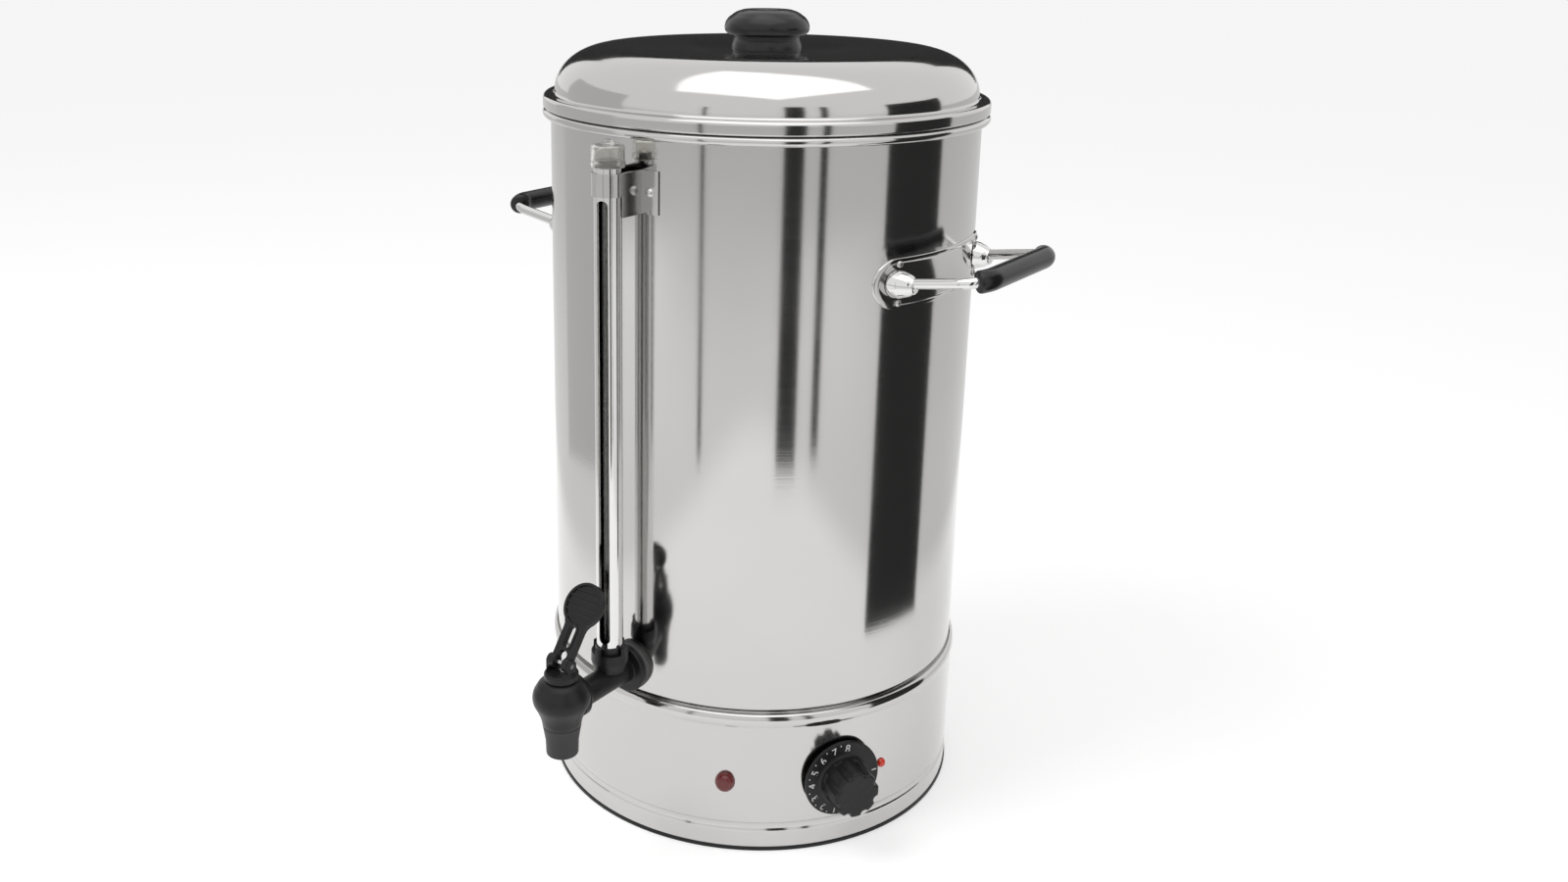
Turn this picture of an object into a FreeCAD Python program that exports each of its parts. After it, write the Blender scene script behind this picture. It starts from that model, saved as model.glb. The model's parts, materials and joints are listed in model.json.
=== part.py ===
import FreeCAD, Part
import math
import os

# Hot water urn for catering, about 20 litres, in millimetres.
# Origin: centre of the footprint on the table. +Z is up, the tap faces -Y, the handles are at +X and -X.
# The tank is one polished steel wall with a rolled rim; a skirt below it holds the electric parts.

V = FreeCAD.Vector
UP = V(0, 0, 1)
OUT = V(0, -1, 0)

# tank and lid
tank_radius = 135.0
tank_wall = 1.0
tank_floor_z = 96.0
rim_top_z = 446.4
rim_bead_radius = 2.8
lid_gap = 0.3
lid_wall = 1.0
lid_height = 37.3
lid_recess_depth = 3.5
lid_crest_inner_radius = 63.0
lid_crest_outer_radius = 97.0
lid_flange_height = 8.0
lid_flange_overhang = 4.8
lid_lip_depth = 9.0
lid_lip_clearance = 1.5
lid_knob_radius = 26.5
lid_knob_neck_radius = 18.5
lid_knob_height = 25.5
lid_knob_dish = 1.5
lid_screw_radius = 2.5

# skirt, base plate and foot ring
skirt_step = 1.6
skirt_wall = 1.2
skirt_bottom_z = 2.6
skirt_clearance = 0.3
skirt_ledge = 12.0
seam_bead_low_z = 86.0
seam_bead_top_z = 94.2
seam_bead_bulge = 1.3
seam_recess = 3.0
low_groove_z = 17.0
low_groove_depth = 1.0
low_groove_height = 6.0
base_ring_height = 2.6
base_ring_width = 6.0
base_plate_thickness = 1.5
base_screw_radius = 2.0
base_screw_length = 7.0
base_screw_head_height = 2.0
base_screw_count = 3
base_screw_inset = 14.0

# controls on the skirt, as angles from the tap towards +X
controls_z = 48.0
pilot_angle = 28.0
dial_angle = 58.5
index_angle = 71.6
pilot_lens_radius = 6.2
pilot_lens_height = 5.0
pilot_stem_radius = 4.6
pilot_depth = 22.0
pilot_nut_radius = 8.0
pilot_nut_thickness = 3.0
index_radius = 3.0
index_height = 2.4
index_pin_radius = 1.8
dial_skirt_radius = 25.0
dial_skirt_thickness = 3.0
dial_stand_off = 1.6
dial_grip_radius = 15.5
dial_grip_height = 19.0
dial_lobes = 8
dial_lobe_cut_radius = 3.4
dial_socket_depth = 13.5
dial_shaft_radius = 3.0
dial_shaft_clearance = 0.05
thermostat_neck_radius = 4.8

# tap
tap_z = 112.0
tap_reach = 63.0
shank_radius = 8.0
shank_bore_radius = 5.2
shank_hole_clearance = 0.2
shank_inside_length = 16.0
tap_flange_radius = 15.0
tap_flange_thickness = 4.0
tap_collar_radius = 8.8
tap_collar_length = 3.0
tap_washer_thickness = 1.5
lock_nut_flats = 26.0
lock_nut_thickness = 7.0
spout_radius = 9.6
spout_bore_radius = 5.8
spout_drop = 30.0
spout_joint_z = 101.0
ball_radius = 17.2
ball_chamber_radius = 8.0
bonnet_radius = 9.4
bonnet_height = 7.0
bonnet_plug_depth = 4.0
bonnet_ear_thickness = 2.2
stem_radius = 2.2
stem_clearance = 0.3
stem_rise = 3.0
stem_collar_height = 1.5
seat_clearance = 0.3
cup_radius = 7.2
cup_height = 8.0
spring_radius = 4.6
spring_wire_radius = 0.5
spring_turns = 5
pin_radius = 1.5
pin_clearance = 0.05
pin_rise = 3.5
lever_cheek_gap = 6.0
lever_fork_height = 7.0
lever_hub_radius = 4.2
lever_width = 12.0
lever_length = 47.0
lever_lean = 37.0
lever_thickness = 4.0
paddle_radius = 12.0
paddle_rim_width = 1.6
paddle_rim_height = 1.0
paddle_rib_spacing = 3.6
lever_window_width = 4.0
lever_window_low = 10.0
lever_window_length = 13.0

# water gauge
gauge_stand_off = 19.0
guard_radius = 8.0
guard_wall = 0.8
guard_bottom_z = 130.0
guard_top_z = 427.0
guard_slot_width = 7.0
guard_slot_turn = 15.0
guard_slot_margin_top = 18.0
guard_slot_margin_bottom = 8.0
glass_radius = 5.2
glass_wall = 1.3
gauge_nut_radius = 11.5
gauge_nut_height = 14.0
gauge_nut_notch_depth = 4.0
gauge_cap_radius = 10.0
gauge_cap_height = 14.5
gauge_seal_height = 3.0
bracket_top_z = 424.0
bracket_height = 25.0
bracket_collar_height = 13.0
bracket_thickness = 1.2
bracket_foot_width = 11.0
bracket_screw_radius = 3.0
bracket_screw_hole_radius = 1.6
bracket_clearance = 0.15

# handles
handle_z = 360.0
handle_half_width = 48.0
handle_reach = 51.0
handle_tilt = 9.0
handle_rod_radius = 3.2
handle_corner_radius = 15.0
handle_hole_clearance = 0.2
grip_radius = 6.6
grip_bore_clearance = 0.1
rod_end_inside = 13.0
handle_plate_half_length = 64.0
handle_plate_height = 30.0
handle_plate_thickness = 1.2
boss_radius = 8.6
boss_height = 11.0
handle_nut_flats = 13.0
handle_nut_thickness = 5.0
rivet_radius = 2.0
rivet_height = 1.1
rivet_half_spread = 11.4

# inside the skirt and the tank
element_ring_radius = 85.0
element_tube_radius = 4.0
element_rise = 9.0
element_gap_angle = 30.0
element_nut_flats = 15.0
element_nut_thickness = 6.0
thermostat_size = 34.0
thermostat_depth = 26.0
cutout_radius = 11.0
cutout_height = 12.0
terminal_block_size = (44.0, 22.0, 18.0)
terminal_block_y = 70.0
gland_radius = 9.0
gland_nut_flats = 22.0
gland_z = 30.0
gland_length = 12.0

# places that follow from the sizes above
tank_inner_radius = tank_radius - tank_wall
flange_under_z = rim_top_z + lid_gap
lid_crest_z = flange_under_z + lid_height
lid_recess_z = lid_crest_z - lid_recess_depth
tap_y = -(tank_radius + tap_reach)
gauge_y = -(tank_radius + gauge_stand_off)
skirt_radius = tank_radius + skirt_step
base_screw_ring_radius = skirt_radius - base_screw_inset
spout_bottom_z = tap_z - spout_drop
ball_z = tap_z + 6.5
ball_top_z = ball_z + 12.0
bonnet_top_z = ball_top_z + bonnet_height
pin_z = bonnet_top_z + pin_rise
seat_z = tap_z - 6.0
wall_face = tank_radius + handle_plate_thickness
handle_root_x = math.sqrt(wall_face ** 2 - handle_half_width ** 2)

os.makedirs("parts", exist_ok=True)


def save(name, *solids):
    shape = solids[0] if len(solids) == 1 else Part.makeCompound(list(solids))
    bad = [s for s in shape.Solids if not s.isValid() or s.Volume <= 0]
    print(name, len(shape.Solids), "solids", "BAD" if bad or not shape.Solids else "")
    shape.exportStep("parts/" + name + ".step")


def cylinder(radius, height, at=V(0, 0, 0), along=UP):
    return Part.makeCylinder(radius, height, at, along)


def ring(outer, inner, height, at=V(0, 0, 0), along=UP):
    return cylinder(outer, height, at, along).cut(cylinder(inner, height, at, along))


def box(low, high):
    return Part.makeBox(high[0] - low[0], high[1] - low[1], high[2] - low[2], V(*low))


def profile(steps):
    """A closed face in the XZ plane. A step is a corner (r, z) or an arc's middle and end, ((r, z), (r, z))."""
    edges = []
    here = steps[0]
    for step in list(steps[1:]) + [steps[0]]:
        a = V(here[0], 0, here[1])
        if isinstance(step[0], tuple):
            middle, end = step
            edges.append(Part.Arc(a, V(middle[0], 0, middle[1]), V(end[0], 0, end[1])).toShape())
            here = end
        elif math.dist(here, step) > 1e-6:
            edges.append(Part.LineSegment(a, V(step[0], 0, step[1])).toShape())
            here = step
    return Part.Face(Part.Wire(edges))


def revolve(steps, at=V(0, 0, 0)):
    solid = profile(steps).revolve(V(0, 0, 0), UP, 360)
    solid = Part.Solid(solid.Shells[0]) if not solid.Solids else solid.Solids[0]
    if solid.Volume < 0:
        solid.reverse()
    solid.translate(at)
    return solid


def hexagon(flats, height, at, along):
    corner = flats / math.sqrt(3)
    points = [V(corner * math.cos(math.radians(60 * k)), corner * math.sin(math.radians(60 * k)), 0)
              for k in range(7)]
    solid = Part.Face(Part.makePolygon(points)).extrude(V(0, 0, height))
    solid.Placement = FreeCAD.Placement(at, FreeCAD.Rotation(UP, along))
    return solid


def outward(angle):
    """Horizontal unit vector at an angle from the tap towards +X."""
    a = math.radians(angle)
    return V(math.sin(a), -math.cos(a), 0)


def mirrored(solid):
    return solid.mirror(V(0, 0, 0), V(1, 0, 0))


# tank, with holes for the tap, the handles, the gauge screws and the heater ends
def bead_centre():
    return tank_radius + rim_bead_radius - tank_wall * 0.5, rim_top_z - rim_bead_radius


def element_end_points():
    return [outward(180 + side * element_gap_angle * 0.5) * element_ring_radius for side in (-1, 1)]


def bracket_screw_angles():
    reach = guard_radius + bracket_thickness + bracket_clearance + bracket_foot_width * 0.5
    return [side * math.degrees(math.asin(reach / tank_radius)) for side in (-1, 1)]


def bracket_screw_hole(angle):
    start = outward(angle) * (tank_radius - 10) + UP * (bracket_top_z - bracket_height * 0.5)
    return cylinder(bracket_screw_hole_radius, 20, start, outward(angle))


def make_tank():
    r, w = tank_radius, tank_wall
    bead_r, bead_z = bead_centre()
    wall = revolve([(0, tank_floor_z), (r, tank_floor_z), (r, bead_z), (r - w, bead_z),
                    (r - w, tank_floor_z + w), (0, tank_floor_z + w)])
    bead = Part.makeTorus(bead_r, rim_bead_radius, V(0, 0, bead_z), UP)
    bead = bead.cut(Part.makeTorus(bead_r, rim_bead_radius - w, V(0, 0, bead_z), UP))
    bead = bead.cut(ring(r - w, r - w - 9, 9, V(0, 0, bead_z - 4.5)))
    tank = wall.fuse(bead)
    tank = tank.cut(cylinder(shank_radius + shank_hole_clearance, 40, V(0, -r + 20, tap_z), OUT))
    for hole in leg_holes(handle_rod_radius + handle_hole_clearance):
        tank = tank.cut(hole).cut(mirrored(hole))
    for point in element_end_points():
        tank = tank.cut(cylinder(element_tube_radius + 0.1, 6, V(point.x, point.y, tank_floor_z - 2)))
    for angle in bracket_screw_angles():
        tank = tank.cut(bracket_screw_hole(angle))
    return tank


# lid: pressed dome with a shallow recess, a rolled flange and a lip that drops into the tank
def lid_profile():
    w = lid_wall
    lip_outer = tank_inner_radius - lid_lip_clearance
    side = lip_outer
    zc, zr = lid_crest_z, lid_recess_z
    flange_r = tank_radius + lid_flange_overhang
    flange_top = flange_under_z + lid_flange_height
    drop = lid_crest_z - flange_top - 2
    reach = side - lid_crest_outer_radius
    mid = (lid_crest_outer_radius + 0.735 * reach, zc - 0.36 * drop)
    return [
        (lid_screw_radius + 0.2, zr), (lid_crest_inner_radius - 6, zr), (lid_crest_inner_radius, zc),
        (lid_crest_outer_radius, zc), (mid, (side, flange_top + 2)),
        ((side + 0.6, flange_top + 0.6), (side + 2, flange_top)),
        (flange_r - 2, flange_top), ((flange_r - 0.6, flange_top - 0.6), (flange_r, flange_top - 2)),
        (flange_r, flange_under_z), (lip_outer, flange_under_z), (lip_outer, flange_under_z - lid_lip_depth),
        (lip_outer - w, flange_under_z - lid_lip_depth), (lip_outer - w, flange_top + 2),
        ((mid[0] - 0.7 * w, mid[1] - 0.7 * w), (lid_crest_outer_radius, zc - w)),
        (lid_crest_inner_radius + 0.6 * w, zc - w), (lid_crest_inner_radius - 6 + 0.6 * w, zr - w),
        (lid_screw_radius + 0.2, zr - w),
    ]


def make_lid_knob():
    z, h = lid_recess_z, lid_knob_height
    n, k, hole = lid_knob_neck_radius, lid_knob_radius, lid_screw_radius + 0.1
    dish = k - 12
    curve = (dish ** 2 + lid_knob_dish ** 2) / (2 * lid_knob_dish)
    middle = (dish * 0.5, z + h - lid_knob_dish + curve - math.sqrt(curve ** 2 - dish ** 2 * 0.25))
    return revolve([(0, z + 8), (hole, z + 8), (hole, z), (n + 1, z), ((n + 1.4, z + 0.8), (n + 0.6, z + 1.8)),
                    ((n - 3.4, z + 6), (n + 1, z + 9.5)), ((k - 1.2, z + 11.2), (k, z + 14.5)),
                    ((k - 2.4, z + h - 5), (k - 8, z + h - 1.2)), (k - 10, z + h), (dish, z + h),
                    (middle, (0, z + h - lid_knob_dish))])


def make_lid_screw():
    z = lid_recess_z - lid_wall
    shaft = cylinder(lid_screw_radius, 8.5, V(0, 0, z))
    head = revolve([(0, z - 3), (3.5, z - 3), ((4.6, z - 2.2), (5, z)), (0, z)])
    return head.fuse(shaft).cut(box((-4, -0.6, z - 3.2), (4, 0.6, z - 2)))


def make_lid_washer():
    z = lid_recess_z - lid_wall
    return ring(9, 5.1, 1.2, V(0, 0, z - 1.2))


# skirt: a rounded bead under the seam, a step that leaves a dark line, a pressed groove near the foot
def make_skirt():
    r, w = skirt_radius, skirt_wall
    top = tank_floor_z - skirt_clearance
    g = seam_recess
    lg, lh, ld = low_groove_z, low_groove_height * 0.5, low_groove_depth
    z0, z1, z2 = skirt_bottom_z, seam_bead_low_z, seam_bead_top_z
    skirt = revolve([
        (r, z0), (r, lg - lh), ((r - ld, lg), (r, lg + lh)), (r, z1),
        ((r + seam_bead_bulge, (z1 + z2) * 0.5), (r - 0.4, z2)), (r - g, z2), (r - g, top),
        (r - w - skirt_ledge, top), (r - w - skirt_ledge, top - w), (r - g - w, top - w), (r - g - w, z2 - w),
        (r - w, z1), (r - w, lg + lh + 1.5), ((r - ld - w, lg), (r - w, lg - lh - 1.5)), (r - w, z0),
    ])
    holes = ((pilot_angle, pilot_stem_radius), (dial_angle, thermostat_neck_radius), (index_angle, index_pin_radius))
    for angle, radius in holes:
        d = outward(angle)
        skirt = skirt.cut(cylinder(radius + 0.1, 20, d * (r - 12) + UP * controls_z, d))
    return skirt.cut(cylinder(gland_radius - 2 + 0.1, 20, V(0, r - 12, gland_z), V(0, 1, 0)))


def make_base_ring():
    r = skirt_radius + 0.6
    z1 = skirt_bottom_z
    z0 = z1 - base_ring_height
    inner = skirt_radius - base_ring_width
    return revolve([(inner, z0), (r - 0.6, z0), ((r - 0.2, z0 + 0.2), (r, z0 + 0.6)), (r, z1), (inner, z1)])


def base_screw_points():
    step = 360 / base_screw_count
    return [outward(30 + step * k) * base_screw_ring_radius for k in range(base_screw_count)]


def make_base_plate():
    z = skirt_bottom_z
    plate = cylinder(skirt_radius - skirt_wall - 0.2, base_plate_thickness, V(0, 0, z))
    plate = plate.cut(cylinder(4, 20, V(0, 0, z - 5)))
    for point in base_screw_points():
        plate = plate.cut(cylinder(base_screw_radius + 0.1, 8, V(point.x, point.y, z - 2)))
    return plate


def make_base_screws():
    low = skirt_bottom_z - base_screw_head_height
    screws = []
    for p in base_screw_points():
        at = V(p.x, p.y, low)
        head = cylinder(base_screw_radius * 1.8, base_screw_head_height, at)
        slot = box((p.x - 3, p.y - 0.5, low - 0.1), (p.x + 3, p.y + 0.5, low + 0.8))
        screws.append(head.fuse(cylinder(base_screw_radius, base_screw_length, at)).cut(slot))
    return screws


# tap: spout and ball stand on one vertical axis, and the shank runs back through the tank wall
def tap_outline():
    s, b = spout_radius, ball_radius
    z0, zb, zt = spout_bottom_z, ball_z, ball_top_z
    steps = [(0, z0), (s - 1, z0), ((s - 0.3, z0 + 0.3), (s, z0 + 1)), ((s + 1.1, z0 + 15), (b - 3.4, zb - 9)),
             ((b, zb), (b - 2.4, zb + 7.4)), ((b - 4.6, zb + 10.6), (bonnet_radius, zt)), (0, zt)]
    return revolve(steps, V(0, tap_y, 0))


def below_joint():
    reach = ball_radius * 2
    return box((-reach, tap_y - reach, spout_bottom_z - 5), (reach, tap_y + reach, spout_joint_z))


def make_spout():
    spout = tap_outline().common(below_joint())
    return spout.cut(cylinder(spout_bore_radius, spout_drop, V(0, tap_y, spout_bottom_z)))


def make_tap_body():
    zt = ball_top_z
    at = V(0, tap_y, 0)
    outer = tap_outline().cut(below_joint())
    back = V(0, 1, 0)
    shank_length = tap_reach + shank_inside_length
    shank = cylinder(shank_radius, shank_length, V(0, tap_y, tap_z), back)
    flange_y = -(tank_radius + tap_washer_thickness + 0.7)
    flange = cylinder(tap_flange_radius, tap_flange_thickness, V(0, flange_y, tap_z), OUT)
    collar = cylinder(tap_collar_radius, tap_collar_length, V(0, flange_y - tap_flange_thickness, tap_z), OUT)
    boss = cylinder(glass_radius + 4.5, gauge_nut_bottom_z() + 6 - tap_z, V(0, gauge_y, tap_z))
    body = outer.fuse([shank, flange, collar, boss]).removeSplitter()
    chamber = revolve([(0, seat_z), (ball_chamber_radius, seat_z), (ball_chamber_radius, zt), (0, zt)], at)
    bore = cylinder(spout_bore_radius, spout_drop, V(0, tap_y, spout_bottom_z))
    inlet = cylinder(shank_bore_radius, shank_length, V(0, tap_y, tap_z), back)
    riser = cylinder(glass_radius + 0.1, 60, V(0, gauge_y, tap_z + shank_bore_radius + 1))
    feed = cylinder(glass_radius - glass_wall, 20, V(0, gauge_y, tap_z))
    return body.cut(chamber).cut(bore).cut(inlet).cut(riser).cut(feed)


def make_tap_washer():
    start = V(0, -(tank_radius - 2), tap_z)
    washer = ring(tap_flange_radius, shank_radius + 0.1, tap_washer_thickness + 2.7, start, OUT)
    return washer.cut(cylinder(tank_radius, 60, V(0, 0, tap_z - 30)))


def make_lock_nut():
    at = V(0, -(tank_inner_radius - 1.2), tap_z)
    nut = hexagon(lock_nut_flats, lock_nut_thickness, at, V(0, 1, 0))
    return nut.cut(cylinder(shank_radius + 0.05, 40, at + V(0, -10, 0), V(0, 1, 0)))


def make_bonnet():
    z, r = ball_top_z, bonnet_radius
    at = V(0, tap_y, 0)
    inner = stem_radius + stem_clearance
    low, plug = z - bonnet_plug_depth, ball_chamber_radius - 0.1
    top = z + bonnet_height
    cap = revolve([(inner, low), (plug, low), (plug, z), (r, z), ((r + 0.6, z + 0.5), (r + 0.8, z + 1.4)),
                   (r + 0.8, top - 3), (r - 1, top), (inner, top)], at)
    flat = lever_width * 0.5 + 0.4
    slot = box((-flat, tap_y - r - 2, bonnet_top_z - 1.6), (flat, tap_y + r + 2, bonnet_top_z + 1))
    ears = []
    for side in (-1, 1):
        x0, x1 = sorted((side * flat, side * (flat + bonnet_ear_thickness)))
        ear = box((x0, tap_y - 3.6, bonnet_top_z - 3), (x1, tap_y + 3.6, pin_z))
        ears.append(ear.fuse(cylinder(3.6, bonnet_ear_thickness, V(x0, tap_y, pin_z), V(1, 0, 0))))
    return cap.cut(slot).fuse(ears).cut(cylinder(pin_radius, 60, V(-30, tap_y, pin_z), V(1, 0, 0)))


def make_lever_pin():
    half = lever_width * 0.5 + 0.4 + bonnet_ear_thickness
    return cylinder(pin_radius, half * 2, V(-half, tap_y, pin_z), V(1, 0, 0))


def make_lever():
    """Drawn upright at the pin, then leaned back towards the tank."""
    w, t, half_gap = lever_width, lever_thickness, lever_cheek_gap * 0.5
    end = lever_length - paddle_radius
    arm = box((-w * 0.5, -t * 0.5, 0), (w * 0.5, t * 0.5, end))
    hub = cylinder(lever_hub_radius, w, V(-w * 0.5, 0, 0), V(1, 0, 0))
    paddle = cylinder(paddle_radius, t, V(0, t * 0.5, end), OUT)
    lever = arm.fuse([hub, paddle]).removeSplitter()
    inner = paddle_radius - paddle_rim_width
    lever = lever.cut(cylinder(inner, paddle_rim_height, V(0, -t * 0.5 + paddle_rim_height, end), OUT))
    ribs = []
    for k in range(-2, 3):
        rise = k * paddle_rib_spacing
        half = math.sqrt((inner + 0.1) ** 2 - rise ** 2)
        near, far = -t * 0.5 + 0.3, -t * 0.5 + paddle_rim_height + 0.1
        ribs.append(box((-half, near, end + rise - 0.6), (half, far, end + rise + 0.6)))
    lever = lever.fuse(ribs)
    fork = box((-half_gap, -t * 3, -t * 3), (half_gap, t * 3, lever_fork_height))
    half = lever_window_width * 0.5
    low, high = lever_window_low + half, lever_window_low + lever_window_length - half
    window = box((-half, -t * 3, low), (half, t * 3, high))
    for z in (low, high):
        window = window.fuse(cylinder(half, t * 6, V(0, t * 3, z), OUT))
    pin_hole = cylinder(pin_radius + pin_clearance, w * 2, V(-w, 0, 0), V(1, 0, 0))
    lever = lever.cut([fork, window, pin_hole])
    lever.rotate(V(0, 0, 0), V(1, 0, 0), -lever_lean)
    lever.translate(V(0, tap_y, pin_z))
    return lever


def make_stem():
    low, top = seat_z + cup_height * 0.5, pin_z - pin_radius - stem_rise - 0.6
    rod = cylinder(stem_radius, top - low, V(0, tap_y, low))
    return rod.fuse(cylinder(stem_radius + 2, stem_collar_height, V(0, tap_y, seat_z + cup_height)))


def make_seat_cup():
    low, high = seat_z + seat_clearance, seat_z + cup_height
    cup = revolve([(0, low), (cup_radius - 1.6, low), ((cup_radius - 0.4, low + 0.6), (cup_radius, low + 2)),
                   (cup_radius - 1, high), (0, high)], V(0, tap_y, 0))
    return cup.cut(cylinder(stem_radius + 0.02, cup_height, V(0, tap_y, seat_z + cup_height * 0.5)))


def make_spring():
    low, high = seat_z + cup_height + stem_collar_height, ball_top_z - bonnet_plug_depth
    height = high - low - 2 * spring_wire_radius
    helix = Part.makeHelix(height / spring_turns, height, spring_radius)
    circle = Part.Wire([Part.makeCircle(spring_wire_radius, V(spring_radius, 0, 0), V(0, 1, 0))])
    spring = Part.Wire(helix).makePipeShell([circle], True, True)
    spring.translate(V(0, tap_y, low + spring_wire_radius))
    return spring


# water gauge on the tap's shank
def gauge_nut_bottom_z():
    return guard_bottom_z - gauge_nut_height + 5


def make_gauge_nut():
    z0 = gauge_nut_bottom_z()
    at = V(0, gauge_y, 0)
    r, h = gauge_nut_radius, gauge_nut_height
    nut = revolve([(0, z0), (r - 1, z0), (r, z0 + 4), (r - 0.4, z0 + h), (0, z0 + h)], at)
    nut = nut.cut(cylinder(glass_radius + 4.6, 6.1, V(0, gauge_y, z0)))
    nut = nut.cut(cylinder(guard_radius + 0.1, h, V(0, gauge_y, guard_bottom_z)))
    nut = nut.cut(cylinder(glass_radius + 0.3, h * 2, V(0, gauge_y, z0)))
    for angle in (0, 90):
        notch = box((-6, -r - 2, z0 + h - gauge_nut_notch_depth), (6, r + 2, z0 + h + 1))
        notch.rotate(V(0, 0, 0), UP, angle + 45)
        notch.translate(V(0, gauge_y, 0))
        inner = cylinder(guard_radius + 0.9, h, V(0, gauge_y, z0 + h - gauge_nut_notch_depth))
        nut = nut.cut(notch.cut(inner))
    return nut.cut(cylinder(shank_radius + 0.3, 60, V(0, gauge_y - 30, tap_z), V(0, 1, 0)))


def make_guard():
    z0, z1 = guard_bottom_z, guard_top_z
    tube = ring(guard_radius, guard_radius - guard_wall, z1 - z0, V(0, gauge_y, z0))
    half = guard_slot_width * 0.5
    low, high = z0 + guard_slot_margin_bottom + half, z1 - guard_slot_margin_top - half
    slot = box((-half, gauge_y - 20, low), (half, gauge_y, high))
    for z in (low, high):
        slot = slot.fuse(cylinder(half, 20, V(0, gauge_y, z), OUT))
    slot.rotate(V(0, gauge_y, 0), UP, guard_slot_turn)
    return tube.cut(slot)


def make_glass():
    z0 = tap_z + shank_bore_radius + 1 + gauge_seal_height
    return ring(glass_radius, glass_radius - glass_wall, guard_top_z + 4 - z0, V(0, gauge_y, z0))


def make_gauge_seal():
    at = V(0, gauge_y, tap_z + shank_bore_radius + 1)
    return ring(glass_radius, glass_radius - glass_wall, gauge_seal_height, at)


def make_gauge_cap():
    z0, r, h = guard_top_z, gauge_cap_radius, gauge_cap_height
    at = V(0, gauge_y, z0)
    cap = revolve([(r - 1.8, 0), (r - 0.4, 0), ((r - 0.1, 0.1), (r, 0.4)), (r, h - 3.5),
                   ((r - 0.8, h - 1.8), (r - 2.2, h - 1)), (3, h), (1.2, h + 1.2), (0, h + 1.2),
                   (0, h - 2.5), (r - 1.8, h - 3.5)], at)
    return cap.fuse(ring(r - 1.8, glass_radius + 0.1, 4, at))


def make_gauge_bracket():
    inner = guard_radius + bracket_clearance
    outer = inner + bracket_thickness
    z1, z0 = bracket_top_z, bracket_top_z - bracket_height

    def loop(half):
        legs = box((-half, gauge_y, z0), (half, -tank_radius + 8, z1))
        return cylinder(half, z1 - z0, V(0, gauge_y, z0)).fuse(legs)

    strap = loop(outer).cut(loop(inner))
    strap = strap.cut(box((-20, gauge_y - 20, z0 - 1), (20, gauge_y + 2, z1 - bracket_collar_height)))
    foot_reach = outer + bracket_foot_width
    feet = ring(tank_radius + bracket_thickness, tank_radius, z1 - z0, V(0, 0, z0))
    feet = feet.common(box((-foot_reach, -tank_radius - 10, z0), (foot_reach, 0, z1)))
    feet = feet.cut(box((-inner, -tank_radius - 10, z0 - 1), (inner, 0, z1 + 1)))
    bracket = strap.cut(cylinder(tank_radius, z1 - z0, V(0, 0, z0))).fuse(feet)
    for angle in bracket_screw_angles():
        bracket = bracket.cut(bracket_screw_hole(angle))
    return bracket


def make_bracket_screws():
    z = bracket_top_z - bracket_height * 0.5
    screws = []
    for angle in bracket_screw_angles():
        d = outward(angle)
        base = d * (tank_radius + bracket_thickness) + UP * z
        head = Part.makeSphere(bracket_screw_radius, base - d * 0.8)
        head = head.cut(cylinder(tank_radius + bracket_thickness, 40, V(0, 0, z - 20)))
        screws.append(head.fuse(cylinder(bracket_screw_hole_radius - 0.1, 5, base - d * 5, d)))
    return screws


# handles: a bent rod with both ends through the wall, tilted up a little, and a sleeve round to mid-corner
def tilted(solid):
    """From a flat handle drawn at its root into its place on the wall."""
    copy = solid.copy()
    copy.rotate(V(0, 0, 0), V(0, 1, 0), -handle_tilt)
    copy.translate(V(handle_root_x, 0, handle_z))
    return copy


def corner_middle():
    return handle_corner_radius * (1 - math.sqrt(0.5))


def rod_along(edges, radius):
    path = Part.Wire(edges)
    start = edges[0].Vertexes[0].Point
    circle = Part.Wire([Part.makeCircle(radius, start, edges[0].tangentAt(edges[0].FirstParameter))])
    return path.makePipeShell([circle], True, False)


def make_flat_rod(radius):
    y, c, x, k = handle_half_width, handle_corner_radius, handle_reach, corner_middle()
    return rod_along([
        Part.LineSegment(V(-rod_end_inside, -y, 0), V(x - c, -y, 0)).toShape(),
        Part.Arc(V(x - c, -y, 0), V(x - k, -y + k, 0), V(x, -y + c, 0)).toShape(),
        Part.LineSegment(V(x, -y + c, 0), V(x, y - c, 0)).toShape(),
        Part.Arc(V(x, y - c, 0), V(x - k, y - k, 0), V(x - c, y, 0)).toShape(),
        Part.LineSegment(V(x - c, y, 0), V(-rod_end_inside, y, 0)).toShape(),
    ], radius)


def make_flat_sleeve(radius):
    """The sleeve covers the straight run and the outer half of each corner."""
    y, c, x, k = handle_half_width, handle_corner_radius, handle_reach, corner_middle()
    side, back = c * (1 - math.cos(math.radians(22.5))), c * math.sin(math.radians(22.5))
    return rod_along([
        Part.Arc(V(x - k, -y + k, 0), V(x - side, -y + c - back, 0), V(x, -y + c, 0)).toShape(),
        Part.LineSegment(V(x, -y + c, 0), V(x, y - c, 0)).toShape(),
        Part.Arc(V(x, y - c, 0), V(x - side, y - c + back, 0), V(x - k, y - k, 0)).toShape(),
    ], radius)


def leg_holes(radius):
    places = [V(-30, y, 0) for y in (-handle_half_width, handle_half_width)]
    return [tilted(cylinder(radius, 60, place, V(1, 0, 0))) for place in places]


def make_handle_rod():
    return tilted(make_flat_rod(handle_rod_radius))


def make_grip():
    return tilted(make_flat_sleeve(grip_radius).cut(make_flat_rod(handle_rod_radius + grip_bore_clearance)))


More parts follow.
